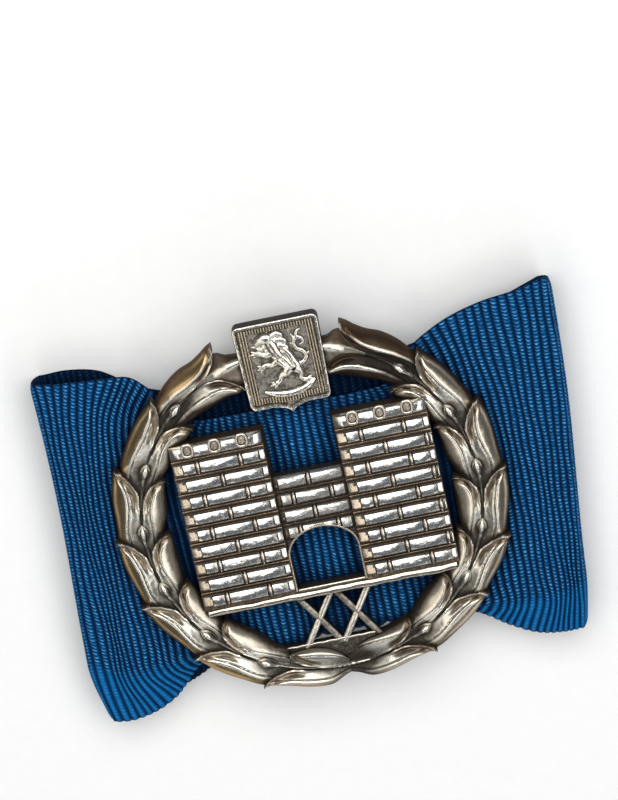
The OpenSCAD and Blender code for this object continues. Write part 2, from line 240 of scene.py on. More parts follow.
# The ribbon: one strip of ribbed blue ribbon, 36 mm wide, folded into a flat loop and gathered behind
# the badge. The ribs run across the strip, each a bundle of slanting threads. It is one closed sheet,
# laid through lines across the strip that follow the loop once round.
RIBBON_T = 0.5
RIB_PITCH = 0.82
RIB_RISE = 0.2
STEPS_A_RIB = 6
# Lines across the front, left to right, each along a rib: top edge, two places below it, the crease
# where the gathered part ends, and the bottom edge
FRONT = [
    [(-24.1, 17.0, 4.9), (-24.0, 12.5, 5.0), (-24.0, 7.0, 5.0), (-24.8, -12.5, 5.0), (-23.9, -19.0, 4.6)],
    [(-22.2, 16.7, 4.9), (-22.6, 12.6, 5.1), (-22.8, 7.1, 5.1), (-22.9, -13.4, 5.1), (-22.1, -19.3, 4.4)],
    [(-19.4, 16.4, 4.9), (-20.4, 12.5, 5.1), (-21.0, 7.2, 5.1), (-21.4, -13.9, 5.1), (-19.7, -18.9, 4.3)],
    [(-16.9, 16.2, 5.0), (-18.6, 12.8, 5.1), (-19.5, 7.0, 5.1), (-19.8, -14.0, 5.1), (-17.5, -17.9, 4.2)],
    [(-14.9, 15.9, 4.9), (-16.9, 12.5, 5.1), (-17.8, 7.0, 5.1), (-17.9, -14.1, 5.1), (-16.1, -16.7, 4.2)],
    [(-13.4, 14.6, 4.9), (-15.2, 11.9, 5.1), (-16.1, 7.0, 5.1), (-16.1, -14.1, 5.1), (-14.9, -15.4, 4.4)],
    [(-12.2, 13.0, 4.8), (-13.6, 11.0, 5.1), (-14.3, 7.0, 5.1), (-14.0, -13.9, 5.0), (-13.5, -14.5, 4.6)],
    [(-10.0, 10.5, 4.7), (-10.9, 9.8, 5.0), (-11.3, 7.0, 5.1), (-11.2, -13.7, 5.0), (-11.0, -14.1, 4.7)],
    [(-6.6, 10.1, 4.8), (-6.6, 9.3, 5.1), (-6.6, 7.0, 5.1), (-6.6, -14.4, 5.1), (-6.6, -14.8, 4.8)],
    [(-3.4, 10.1, 4.8), (-3.4, 9.3, 5.1), (-3.4, 7.0, 5.1), (-3.4, -14.4, 5.1), (-3.4, -14.8, 4.8)],
    [(-1.8, 10.1, 4.8), (-1.8, 9.3, 5.1), (-1.8, 7.0, 5.1), (-1.8, -13.8, 5.1), (-1.8, -14.2, 4.8)],
    [(0.0, 10.1, 4.8), (0.0, 9.3, 5.1), (0.0, 7.0, 5.1), (0.0, -14.4, 5.1), (0.0, -14.85, 4.8)],
    [(1.9, 10.0, 4.8), (1.9, 9.3, 5.1), (1.9, 7.0, 5.1), (1.9, -13.8, 5.1), (1.9, -14.2, 4.8)],
    [(3.2, 10.0, 4.8), (3.2, 9.2, 5.1), (3.2, 7.0, 5.1), (3.2, -14.5, 5.1), (3.2, -14.9, 4.8)],
    [(4.7, 9.9, 4.8), (4.7, 9.2, 5.1), (4.7, 7.0, 5.1), (4.7, -13.8, 5.1), (4.7, -14.25, 4.8)],
    [(6.6, 9.9, 4.8), (6.6, 9.2, 5.1), (6.6, 7.0, 5.1), (6.6, -14.7, 5.1), (6.6, -15.1, 4.8)],
    [(10.2, 10.4, 4.7), (10.9, 9.7, 5.0), (11.2, 7.0, 5.1), (10.8, -14.3, 5.0), (10.4, -14.7, 4.7)],
    [(12.6, 13.2, 4.8), (13.4, 11.3, 5.1), (14.2, 7.0, 5.1), (13.8, -14.4, 5.0), (13.1, -14.9, 4.6)],
    [(14.6, 14.5, 4.9), (15.2, 12.3, 5.1), (16.0, 7.0, 5.1), (15.9, -14.5, 5.1), (14.7, -16.0, 4.4)],
    [(17.1, 15.6, 5.0), (17.5, 12.3, 5.1), (18.1, 7.2, 5.1), (17.9, -14.6, 5.1), (16.4, -17.3, 4.2)],
    [(20.3, 16.4, 5.0), (20.4, 12.0, 5.1), (20.7, 7.0, 5.1), (20.4, -14.7, 5.1), (18.9, -18.6, 4.2)],
    [(23.6, 16.8, 5.0), (23.6, 12.0, 5.1), (23.5, 7.0, 5.1), (22.5, -14.5, 5.1), (21.4, -19.0, 4.4)],
    [(26.7, 17.5, 4.9), (26.5, 12.0, 5.0), (26.2, 7.0, 5.0), (24.2, -14.0, 5.0), (23.4, -18.9, 4.6)],
]
# Lines across the back, right to left: x at the top, x at the bottom, y at the top, y at the bottom, z
BACK = [
    (25.6, 22.8, 16.2, -19.1, 0.0),
    (22.0, 20.5, 15.0, -18.9, 0.0),
    (18.0, 17.5, 13.8, -18.4, 0.0),
    (14.6, 14.6, 12.9, -17.0, 0.8),
    (11.6, 11.6, 12.7, -14.8, 2.4),
    (10.2, 10.2, 12.6, -13.7, 2.7),
    (0.0, 0.0, 12.8, -13.7, 2.7),
    (-10.2, -10.2, 13.0, -13.7, 2.7),
    (-11.6, -11.6, 13.1, -14.8, 2.4),
    (-14.6, -14.6, 13.8, -17.0, 0.8),
    (-18.0, -18.0, 15.8, -18.4, 0.0),
    (-21.0, -21.0, 16.5, -18.8, 0.0),
    (-23.4, -23.4, 16.5, -18.8, 0.0),
]
BACK_SHARES = (0, 0.13, 0.29, 0.8, 0.87, 1)
FOLD_BULGE = 0.55
FOLD_STEPS = 6
# How much closer the ribs lie at places from left to right, where the strip is drawn together more
RIBS_CLOSER = ((-24, -20, -16, -10, 0, 11, 20), (1.38, 1.33, 1.2, 1.1, 1.0, 1.02, 1.05))
# A finished line has six points, with the crease as its fifth; these are the steps between them
STEPS_DOWN = (9, 8, 17, 5, 12)
CREASE = 4
DIP = 0.2
DIP_FROM_TO = (13, 21.6)


def back_line(x_top, x_bottom, y_top, y_bottom, z):
    return [
        (x_top + share * (x_bottom - x_top), y_top + share * (y_bottom - y_top), z)
        for share in BACK_SHARES
    ]


def fold_lines(a, b, way):
    """Lines round a fold from line a to line b, which bulges out to the right or to the left."""
    a, b = np.array(a), np.array(b)
    lines = []
    for i in range(1, FOLD_STEPS):
        share = i / FOLD_STEPS
        line = a + (b - a) * share
        out = way * (np.maximum(way * a[:, 0], way * b[:, 0]) + FOLD_BULGE)
        line[:, 0] += (out - (a[:, 0] + b[:, 0]) / 2) * math.sin(math.pi * share)
        line[:, 2] = b[:, 2] + (a[:, 2] - b[:, 2]) * (1 + math.cos(math.pi * share)) / 2
        lines.append(line)
    return lines


def smooth(points, places, closed):
    """Points on a smooth curve through the given ones; place 2.5 is half way from the third on."""
    points = np.asarray(points, float)
    n = len(points)
    i = np.floor(places).astype(int)
    if not closed:
        i = np.clip(i, 0, n - 2)
    t = (places - i).reshape((-1,) + (1,) * (points.ndim - 1))
    if closed:
        p0, p1, p2, p3 = (points[(i + k) % n] for k in (-1, 0, 1, 2))
    else:
        ends = np.concatenate([[2 * points[0] - points[1]], points, [2 * points[-1] - points[-2]]])
        p0, p1, p2, p3 = (ends[i + k] for k in (0, 1, 2, 3))
    return 0.5 * (
        2 * p1
        + (p2 - p0) * t
        + (2 * p0 - 5 * p1 + 4 * p2 - p3) * t ** 2
        + (3 * p1 - p0 - 3 * p2 + p3) * t ** 3
    )


def with_crease(line):
    """The line with one more point, just above the crease, so that it bends only there."""
    below, crease = np.array(line[2]), np.array(line[3])
    way = crease - below
    return line[:3] + [tuple(crease - way * (1.8 / np.linalg.norm(way)))] + line[3:]


def down_line(points, places):
    """Points on a smooth line through the given ones, with no swing where some lie close."""
    points = np.asarray(points, float)
    gaps = np.diff(points, axis=0)
    spans = np.linalg.norm(gaps, axis=1)[:, None]
    slopes = gaps / spans
    inner = (slopes[:-1] * spans[1:] + slopes[1:] * spans[:-1]) / (spans[:-1] + spans[1:])
    slopes = np.concatenate([slopes[:1], inner, slopes[-1:]])
    i = np.clip(np.floor(places).astype(int), 0, len(points) - 2)
    t = (places - i)[:, None]
    return (
        points[i] * (2 * t ** 3 - 3 * t ** 2 + 1)
        + points[i + 1] * (3 * t ** 2 - 2 * t ** 3)
        + slopes[i] * spans[i] * (t ** 3 - 2 * t ** 2 + t)
        + slopes[i + 1] * spans[i] * (t ** 3 - t ** 2)
    )


def ribbon_lines():
    front = [with_crease(line) for line in FRONT]
    back = [back_line(*line) for line in BACK]
    return np.array(
        front
        + fold_lines(front[-1], back[0], 1)
        + back
        + fold_lines(back[-1], front[0], -1)
    )


def rib_places(lines):
    """Where along the lines each column of points goes, and the strip's length once round."""
    n = len(lines)
    fine = np.linspace(0, n, n * 24, endpoint=False)
    track = smooth(lines, fine, True)[:, 1:3].mean(axis=1)
    run = np.linalg.norm(np.roll(track, -1, axis=0) - track, axis=1)
    length = run.sum()
    run = run * np.interp(track[:, 0], *RIBS_CLOSER)
    columns = round(run.sum() / RIB_PITCH) * STEPS_A_RIB
    wanted = np.arange(columns) * run.sum() / columns
    return np.interp(wanted, np.concatenate([[0], np.cumsum(run)]), np.append(fine, n)), length


def lay_strip(lines, places, across):
    """The strip's face as columns of points, and how far down the strip each point lies."""
    sheet = np.stack([down_line(station, across) for station in smooth(lines, places, True)])
    down = np.zeros(sheet.shape[:2])
    down[:, 1:] = np.cumsum(np.linalg.norm(np.diff(sheet, axis=1), axis=2), axis=1)
    # The flaps dip a little where they leave the gathered part
    past_crease = down - down[:, across == CREASE]
    beside = np.abs(sheet[:, :, 0])
    depth = np.clip((DIP_FROM_TO[1] - beside) / 1.5, 0, 1)
    depth *= np.clip((beside - DIP_FROM_TO[0]) / 1.5, 0, 1) * np.clip(sheet[:, :, 2] - 3, 0, 1)
    sheet[:, :, 2] -= depth * DIP * np.exp(-(((past_crease - 0.5) / 0.4) ** 2))
    sheet[:, :, 2] = np.maximum(sheet[:, :, 2], 0)
    return sheet, down


def raise_ribs(sheet, down):
    """Outer and inner face of the ribbed strip."""
    columns, rows = down.shape
    along = np.roll(sheet, -1, axis=0) - np.roll(sheet, 1, axis=0)
    # The ribs waver a little
    number = np.arange(columns)[:, None] / columns * 2 * math.pi
    sway = 0.06 * np.sin(down / 2.1 + 19 * number) + 0.04 * np.sin(down / 1.1 - 31 * number)
    sheet = sheet + along / np.linalg.norm(along, axis=2)[..., None] * sway[..., None]
    out = np.cross(np.gradient(sheet, axis=1), along)
    out /= np.linalg.norm(out, axis=2)[..., None]
    crown = np.abs(np.sin(math.pi * (np.arange(columns) / STEPS_A_RIB))) ** 0.9
    # The strip thins to its two edges
    edge = np.ones(rows)
    edge[[0, -1]] = 0.25
    edge[[1, -2]] = 0.85
    # The ribs stand further apart where the strip is gathered, and flatten towards its upper edge
    gather = np.exp(-(((np.abs(sheet[:, :, 0]) - 15.5) / 2.2) ** 2))
    relief = RIB_RISE * (1 + 0.7 * gather) * np.clip(down / 0.4, 0.3, 1)
    outer = sheet + out * ((crown[:, None] - 1) * relief)[..., None]
    inner = sheet - out * (RIBBON_T - np.minimum(relief, RIB_RISE) * (1 - crown[:, None]))[..., None]
    middle = sheet - out * (RIBBON_T / 2)
    outer = middle + (outer - middle) * edge[None, :, None]
    inner = middle + (inner - middle) * edge[None, :, None]
    # Along the lower edge each rib ends a little beyond the grooves beside it
    way = sheet[:, -1] - sheet[:, -2]
    way *= (0.1 * (crown - 0.6) / np.linalg.norm(way, axis=1))[:, None]
    outer[:, -1] += way
    inner[:, -1] += way
    return outer, inner


def paint(piece, **values):
    """Sets named values on the mesh, one for each point or one for all, for the material to read."""
    for name, value in values.items():
        layer = piece.data.attributes.new(name, "FLOAT", "POINT")
        layer.data.foreach_set("value", np.zeros(len(piece.data.vertices)) + value)


def make_ribbon():
    lines = ribbon_lines()
    places, length = rib_places(lines)
    columns = len(places)
    stretches = [np.linspace(k, k + 1, n, endpoint=False) for k, n in enumerate(STEPS_DOWN)]
    across = np.append(np.concatenate(stretches), len(STEPS_DOWN))
    sheet, down = lay_strip(lines, places, across)
    outer, inner = raise_ribs(sheet, down)
    ring = np.concatenate([outer, inner[:, ::-1]], axis=1)
    width = ring.shape[1]
    faces = []
    for c in range(columns):
        d = (c + 1) % columns
        for r in range(width):
            q = (r + 1) % width
            faces.append((c * width + r, c * width + q, d * width + q, d * width + r))
    mesh = bpy.data.meshes.new("ribbon")
    mesh.from_pydata(ring.reshape(-1, 3).tolist(), [], faces)
    ribbon = bpy.data.objects.new("ribbon", mesh)
    bpy.context.collection.objects.link(ribbon)
    past = np.clip((across - 3.9) * 4, 0, 1)
    paint(
        ribbon,
        flap=np.tile(np.concatenate([past, past[::-1]]), columns),
        inside=np.tile(np.repeat([0.0, 1.0], len(across)), columns),
    )
    # The thread map counts ribs along the strip and millimetres down it
    down = np.concatenate([down, down[:, ::-1]], axis=1).ravel()
    spot = np.empty(len(mesh.loops), int)
    mesh.loops.foreach_get("vertex_index", spot)
    u = (spot // width / STEPS_A_RIB).reshape(-1, 4)
    closing = u.max(axis=1) - u.min(axis=1) > 2
    u[closing] = np.where(u[closing] < 1, columns // STEPS_A_RIB, u[closing])
    threads = mesh.uv_layers.new(name="thread")
    threads.uv.foreach_set("vector", np.stack([u.ravel(), down[spot]], axis=1).ravel())
    mesh.transform(TO_FRAME)
    mesh.validate()
    for polygon in mesh.polygons:
        polygon.use_smooth = True
    return ribbon, length


def ribbed_cloth():
    cloth = Finish("blue_ribbed_cloth")
    thread = cloth.node("UVMap", {"uv_map": "thread"}, {})
    u = cloth.node("SeparateXYZ", {}, {"Vector": thread}, out="X")
    v = Reading(cloth, u.socket.node.outputs["Y"])
    place = cloth.in_mm()
    wander = cloth.noise(place, 1.6, detail=1.0)
    patches = cloth.noise(place, 0.3, detail=3.0)
    spots = cloth.noise(place, 2.2, detail=2.0)
    fuzz = cloth.noise(place, 9.0, detail=2.0)
    across = u.fraction()
    crown = (across * math.pi).sine()
    # Strands cross each rib in shallow slanting bows, like the links of a chain
    turn = v / 0.36 - across * 0.8 + (across * 2 - 1) ** 2 * 0.35 + (wander - 0.5) * 0.85
    strand = (turn * (2 * math.pi)).sine() * 0.5 + 0.5
    # Past the crease the ribs lie smoother, and their crowns there are painted lighter as painted light,
    # where the flaps catch the lamps
    smooth_and_lit_flap = cloth.painted("flap")
    ridge = crown.between(0.45, 0.95)
    lit = strand.between(0.5, 1.0) * crown.between(0.55, 0.95) * spots.between(0.25, 0.65)
    # Painted shade: the grooves between the ribs, the gaps between the strands and a band along the upper
    # edge are darkened as shade would darken them
    edge_shade = 1 - v.between(0.0, 0.3)
    groove = edge_shade * 0.4 + 1 - (crown + (strand - 0.5) * 0.22 + (spots - 0.5) * 0.2).between(0.12, 0.7)
    between_strands = (1 - strand.between(0.0, 0.5)) * 0.6
    base = cloth.blend(patches, (0.0005, 0.048, 0.158, 1), (0.0008, 0.088, 0.268, 1))
    colour = cloth.blend(between_strands * (1 - smooth_and_lit_flap * 0.8), base, (0.0006, 0.014, 0.055, 1))
    colour = cloth.blend(smooth_and_lit_flap * ridge * 0.8, colour, (0.001, 0.135, 0.38, 1))
    colour = cloth.blend(lit * (0.9 - smooth_and_lit_flap * 0.6), colour, (0.1, 0.38, 0.72, 1))
    colour = cloth.blend(groove * (0.94 - smooth_and_lit_flap * 0.2), colour, (0.0006, 0.006, 0.02, 1))
    # Painted shade: beside and under the badge, and over the whole inner face of the loop, the cloth is
    # darkened as if in deep shade
    shade = 1 - cloth.open_sky(3.5).between(0.3, 0.85) * (1 - cloth.painted("inside"))
    colour = cloth.blend(shade * 0.9, colour, (0.0004, 0.006, 0.024, 1))
    height = crown * 0.7 + strand * ridge * (0.4 - smooth_and_lit_flap * 0.28) + fuzz * 0.25
    cloth.set(
        Base_Color=colour,
        Roughness=0.7 - lit * 0.2,
        Specular_IOR_Level=0.07,
        Normal=cloth.bump(height, 0.12),
    )
    return cloth.material


ribbon, loop_length = make_ribbon()
ribbon.data.materials.append(ribbed_cloth())
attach(ribbon, "root")
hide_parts("ribbon_bow")
loop_length * MM


# The laurel wreath: a struck silver ring of leaf pairs that grow from the foot up both sides to the
# shield. Each leaf has a ridge, stands higher at its tip and covers the foot of the next, and a small
# bud lies between the tips of a pair. It is one piece with the castle and the shield.
WREATH_MID = (-0.05, -0.4)
WREATH_R = 16.6
BACK_Z = 5.4
WREATH_BACK = 0.1
# A pair a row: angle of the tips on the left and on the right, from straight down, then how far the
# outer and the inner tip lie from the wreath's middle line
LEAF_PAIRS = [
    (26.2, 28.2, 2.5, 2.0),
    (48.5, 51.5, 2.8, 2.3),
    (70.5, 70.5, 3.0, 2.4),
    (91.8, 91.8, 2.8, 2.6),
    (113.5, 113.5, 3.1, 2.1),
    (137.5, 136.0, 2.6, 2.5),
    (161.5, 160.5, 2.72, 2.9),
]
# How far a leaf reaches back under the pair before it, in degrees
COVERED = 11
# Where the first pair starts on the left and on the right, and inner tips that end elsewhere
FIRST_START = (-1.3, 0.7)
FOOT_LEFT_INNER_END = 20.8
TOP_INNER_END = 164.8
STEM_FROM_TO = (150, 173)
RING_FROM_TO = (-1, 160)
RING_IN = 1.5
RING_OUT = 1.7
RING_RISE = 0.85
ONE_DEGREE = math.radians(1) * WREATH_R


def curve(share, *stops):
    """Value at each share of the way, on a smooth curve through evenly or freely placed stops."""
    places = np.array([stop[0] for stop in stops])
    values = np.array([stop[1] for stop in stops], float)
    share = np.asarray(share, float)
    spot = np.interp(share, places, np.arange(len(places)))
    return smooth(values, spot.ravel(), False).reshape(share.shape)


def on_ring(side, angle, r, z):
    turn = np.radians(angle)
    x = WREATH_MID[0] + side * (WREATH_R + r) * np.sin(turn)
    y = WREATH_MID[1] - (WREATH_R + r) * np.cos(turn)
    return np.stack([x, y, BACK_Z + z], axis=-1)


def block_from_grid(name, steps_along, steps_across):
    """A slab of even squares, with each point's share along, share across and whether it is on top."""
    bpy.ops.object.select_all(action="DESELECT")
    bpy.ops.mesh.primitive_grid_add(x_subdivisions=steps_along, y_subdivisions=steps_across, size=1)
    block = bpy.context.object
    block.name = name
    bpy.ops.object.mode_set(mode="EDIT")
    bpy.ops.mesh.select_all(action="SELECT")
    bpy.ops.mesh.extrude_region_move(TRANSFORM_OT_translate={"value": (0, 0, 1)})
    bpy.ops.object.mode_set(mode="OBJECT")
    points = np.empty(len(block.data.vertices) * 3)
    block.data.vertices.foreach_get("co", points)
    points = points.reshape(-1, 3)
    return block, points[:, 0] + 0.5, points[:, 1] + 0.5, points[:, 2] > 0.5


def set_points(block, points):
    block.data.vertices.foreach_set("co", np.asarray(points, float).ravel())
    block.data.update()


def select(*pieces):
    """Selects these pieces alone, with the first one active."""
    bpy.ops.object.select_all(action="DESELECT")
    for piece in pieces:
        piece.select_set(True)
    bpy.context.view_layer.objects.active = pieces[0]


def close_seams(block):
    select(block)
    bpy.ops.object.mode_set(mode="EDIT")
    bpy.ops.mesh.select_all(action="SELECT")
    bpy.ops.mesh.remove_doubles(threshold=0.002)
    bpy.ops.mesh.normals_make_consistent(inside=False)
    bpy.ops.object.mode_set(mode="OBJECT")


def leaf_lines(side, inner, tip, at_foot, at_top):
    """Free edge, crest, inner border of the raised part, and the end from the tip in to the fork where
    the pair parts: degrees back from the tip, and distance from the wreath's middle line."""
    near_tip = (0, tip - 0.1)
    fork = [(0, tip), (0.5, tip - 0.6), (1.3, tip * 0.6), (2.7, tip * 0.4), (6, 0.42), (9, 0.16)]
    fork += [(34, 0.08)]
    if at_foot and inner and side < 0:
        edge = [(0, 1.4), (1.1, 1.65), (5.6, 2.12), (11, 2.37), (16.5, 2.05), (20, 1.45), (22.1, 0.7)]
        crest = [(0, 1.3), (2, 1.5), (6, 1.62), (11, 1.7), (16.5, 1.5), (20, 1.1), (22.1, 0.55)]
        border = [(0, 1.25), (2, 1.28), (6.8, 1.15), (15, 0.92), (20, 0.7), (22.1, 0.4)]
    elif at_foot and inner:
        edge = [(0, tip), (2, 2.1), (6, 2.16), (13, 2.25), (20, 2.18), (24.5, 1.8), (27, 1.3), (29, 0.9)]
        crest = [(0, 1.88), (2.5, 1.42), (4.4, 1.22), (9.5, 1.5), (16, 1.8), (21.5, 1.75)]
        crest += [(25.8, 1.3), (29, 0.7)]
        border = [(0, 1.85), (4, 0.75), (10, 0.7), (18, 0.65), (25, 0.6), (29, 0.4)]
    elif at_foot:
        edge = [(0, tip), (3, 2.15), (8, 2.0), (15, 2.05), (21, 1.9), (25, 1.2), (29, 0.8)]
        crest = [near_tip, (3, 1.75), (8, 1.35), (15, 1.3), (21, 1.25), (25, 0.85), (29, 0.6)]
        border = [near_tip, (3, 1.05), (8, 0.6), (15, 0.5), (25, 0.5), (29, 0.4)]
    elif at_top and inner:
        edge = [(0, tip), (3, 3.0), (8, 2.8), (13, 2.71), (19, 2.44), (26, 1.97), (36, 1.6)]
        crest = [near_tip, (3, 2.3), (9, 1.6), (14, 1.33), (19, 1.2), (24, 1.13), (36, 1.1)]
        border = [near_tip, (3, 1.75), (8, 1.0), (13, 0.6), (19, 0.55), (24, 0.7), (36, 0.9)]
        fork = [(0, tip), (1.5, 2.06), (6, 0.9), (9, 0.42), (13, 0.12), (36, 0.08)]
    elif at_top:
        edge = [(0, tip), (1.9, 2.62), (4.7, 2.35), (8.4, 2.2), (12.7, 2.37), (17, 2.34), (21, 2.15)]
        edge += [(34, 1.5)]
        crest = [near_tip, (2.2, 1.8), (5.3, 1.23), (9.2, 0.88), (13.6, 0.87), (18.4, 1.08), (22, 1.15)]
        crest += [(34, 1.3)]
        border = [near_tip, (2, 1.25), (5, 0.7), (9, 0.4), (14, 0.4), (20, 0.6), (34, 1.0)]
    elif inner:
        edge = [(0, tip), (4, tip + 0.12), (12, 2.58), (17, 2.4), (20, 2.15), (23, 1.9), (34, 1.7)]
        crest = [near_tip, (3, tip * 0.64), (7, 1.15), (13, 1.0), (20, 1.15), (34, 1.1)]
        border = [near_tip, (3, tip * 0.4), (8, 0.28), (14, 0.16), (19, 0.35), (23, 0.7), (34, 0.9)]
    else:
        edge = [(0, tip), (3, tip - 0.08), (9, tip / 2 + 1.3), (16, 2.56), (23, 2.5), (28, 1.9)]
        edge += [(34, 1.5)]
        crest = [near_tip, (1.5, tip * 0.84), (4, tip * 0.65), (8, 1.5), (12, 1.36), (20, 1.6), (34, 1.7)]
        border = [near_tip, (1.3, tip * 0.58), (3.5, 1.0), (8, 0.45), (13, 0.36), (17, 0.55), (22, 1.1)]
        border += [(34, 1.4)]
    return edge, crest, border, fork


def leaf(side, inner, start, end, tip, at_foot, at_top):
    """One leaf of a pair: its part past the inner border swells up to the crest and falls in a round
    flank to the free edge, and its end has a thin raised rim with a hollow behind it."""
    block, u, q, top = block_from_grid("leaf", 64, 34)
    # s runs from the covered end to the tip, closer there, and q from the twig out to the free edge
    s = 1 - (1 - u) ** 1.5
    back = (1 - s) * (end - start)
    lines = leaf_lines(side, inner, tip, at_foot, at_top)
    edge, crest, border, root = (curve(back, *line) for line in lines)
    border = np.clip(border, root + 0.02, edge - 0.3)
    crest = np.clip(crest, border + 0.1, edge - 0.12)
    # Distance out from the wreath's middle line, then the heights of crest, twig side and free edge
    r = root + (edge - root) * q
    crown = curve(back, (0, 1.9), (4, 2.0), (10, 1.95), (15, 1.8), (20, 1.5), (24, 1.15), (34, 0.9))
    crown = crown - (0.1 if inner else 0)
    valley = curve(back, (0, 1.8), (3, 1.6), (8, 1.46), (15, 1.28), (20, 1.05), (34, 0.8))
    brink = curve(back, (0, 1.5), (3, 1.15), (12, 0.9), (34, 0.75))
    swell = np.clip((r - border) / (crest - border), 0, 1)
    outward = np.clip((r - crest) / (edge - crest), 0, 1)
    height = valley + 0.12 * np.clip((r - root) / (border - root), 0, 1)
    height += 0.16 * np.exp(-(((r - root) / 0.1) ** 2)) * np.clip((back - 7) / 3, 0, 1)
    height += (crown - valley - 0.12) * (0.75 * swell + 0.25 * np.sin(swell * math.pi / 2))
    height -= (crown - brink) * (0.25 * outward + 0.75 * outward ** 2.2)
    # A fine groove runs beside the crest, and the free edge is rounded off
    groove_at = 0.2 if inner else 0.27
    groove = np.exp(-(((r - crest + groove_at) / (0.22 * groove_at)) ** 2))
    height -= 0.1 * np.clip(back / 4, 0, 1) * groove
    height -= 0.2 * np.exp(-(((edge - r) / 0.1) ** 2)) * np.clip(back / 3, 0.2, 1)
    # Distance from the line of the leaf's end, along which the rim rises
    line_back = np.linspace(0, 12, 90)
    line_r = curve(line_back, *lines[3])
    gap = np.hypot(
        (back[:, None] - line_back[None, :]) * ONE_DEGREE, r[:, None] - line_r[None, :]
    ).min(axis=1)
    near = np.clip((13 - back) / 4, 0, 1)
    hollow = np.exp(-(((gap - 0.4) / 0.25) ** 2)) * near
    height -= 0.26 * hollow * np.clip(back / 1.5, 0.15, 1)
    rise = np.exp(-((gap / 0.1) ** 2)) * near
    level = curve(back, (0, 1.95), (3, 1.75), (8, 1.35), (12, 1.1), (34, 1.0))
    height = height * (1 - rise) + level * rise
    z = np.where(top, height, WREATH_BACK)
    set_points(block, on_ring(side, start + (end - start) * s, 0.1 + r * (-1 if inner else 1), z))
    # Yellow toning lies on the flank and in the hollow; on the outer flanks of the left half it is
    # strongest, and there it stands also for a painted warm reflection. The metal is dark in the hollow,
    # painted darker as painted shade under the next leaf, and darker also on the foot pair, towards the
    # free edge and, on the top pair, off the crest
    flank = np.clip((r - crest - 0.05) / 0.3, 0, 1)
    toned = flank * (0.25 if inner else 1 if side < 0 else 0.5) + 0.6 * hollow
    dark = 0.18 * np.clip(1 - swell * 2.2, 0, 1) + 0.4 * np.clip((back - 13) / 8, 0, 1) + 1.1 * hollow
    if at_top:
        off_crest = 1 - np.exp(-(((r - crest) / np.where(r > crest, 0.5, 0.2)) ** 2))
        dark += off_crest * (1.6 if side > 0 else 0.7 if inner else 0.4)
    else:
        dark += 0.52 if at_foot else 0.12
    dark += flank * (0.6 if inner else 0.7 if at_top and side > 0 else 0.1)
    dark += 0.6 * np.clip((outward - 0.6) / 0.4, 0, 1)
    # Painted light: the leaves of the left half are painted less dark, as if lit more from that side
    dark = np.clip(dark - 0.8 * rise, 0, 1.4 if at_top else 1) * (0.78 if side < 0 else 1)
    paint(block, toned=np.clip(toned, 0, 1), dark=dark)
    close_seams(block)
    return block


def bud(side, angle):
    """A pointed bud between two tips, parted by a fine line."""
    block, s, q, top = block_from_grid("bud", 28, 22)
    half = curve(s, (0, 0.2), (0.2, 0.3), (0.42, 0.44), (0.62, 0.5), (0.8, 0.45), (0.93, 0.3), (1, 0.1))
    across = np.abs(2 * q - 1)
    height = curve(s, (0, 1.15), (0.3, 1.4), (0.6, 1.75), (0.8, 1.72), (1, 1.4))
    height -= 0.4 * across ** 2
    height -= 0.08 * np.exp(-(((2 * q - 1.08) / 0.14) ** 2)) * np.clip(1.6 - s * 3, 0, 1)
    z = np.where(top, height, WREATH_BACK)
    set_points(block, on_ring(side, angle - 4.6 + 9 * s, 0.12 + (2 * q - 1) * half, z))
    paint(
        block,
        toned=np.clip((across - 0.8) * 2 + (0.4 - s) * 3, 0, 1) * 0.7,
        dark=np.clip((0.35 - s) * 3, 0, 1) * 0.6,
    )
    close_seams(block)
    return block


def stem(side):
    """The bare end of the twig that runs under the shield, with a ridge along its middle."""
    block, s, q, top = block_from_grid("stem", 40, 30)
    angle = STEM_FROM_TO[0] + (STEM_FROM_TO[1] - STEM_FROM_TO[0]) * s
    outer = curve(angle, (150, 1.2), (158, 1.8), (161.2, 1.6), (163.2, 1.02), (166.3, 0.7), (173, 0.6))
    r = -2.0 + (2.0 + outer) * q
    outward = np.clip(r / outer, 0, 1)
    ridge = 0.3 * np.clip((angle - 157) / 5, 0, 1) * np.exp(-(((r - 0.04) / 0.5) ** 2))
    height = 1.2 + ridge - 0.35 * outward ** 2 + 0.12 * np.clip(-r - 0.4, 0, 1)
    set_points(block, on_ring(side, angle, r, np.where(top, height, WREATH_BACK)))
    off_ridge = np.abs(r - 0.04) * 3
    paint(
        block,
        toned=np.clip(off_ridge - 0.3, 0, 1) * 0.3,
        dark=np.where(r > 0.15, 1.0, 0.7) * np.clip(off_ridge - 0.4, 0, 1),
    )
    close_seams(block)
    return block


def ring_under_leaves(side):
    """The ring that the leaves lie on, with the twig that shows between the leaves of each pair."""
    block, s, q, top = block_from_grid("ring", 90, 30)
    angle = RING_FROM_TO[0] + (RING_FROM_TO[1] - RING_FROM_TO[0]) * s
    outer = RING_OUT * curve(angle, (-5, 0.25), (0, 0.3), (4, 0.7), (9, 1), (180, 1))
    r = -RING_IN + (RING_IN + outer) * q
    rise = RING_RISE * (1 - 0.25 * np.abs(2 * q - 1) ** 2) + 0.38 * np.exp(-(((r - 0.1) / 0.2) ** 2))
    set_points(block, on_ring(side, angle, r, np.where(top, rise, WREATH_BACK)))
    close_seams(block)
    return block


def join(pieces, name):
    select(*pieces)
    bpy.ops.object.join()
    whole = bpy.context.object
    whole.name = name
    whole.data.name = name
    return whole


def smooth_faces(piece, degrees):
    select(piece)
    bpy.ops.object.shade_smooth_by_angle(angle=math.radians(degrees))


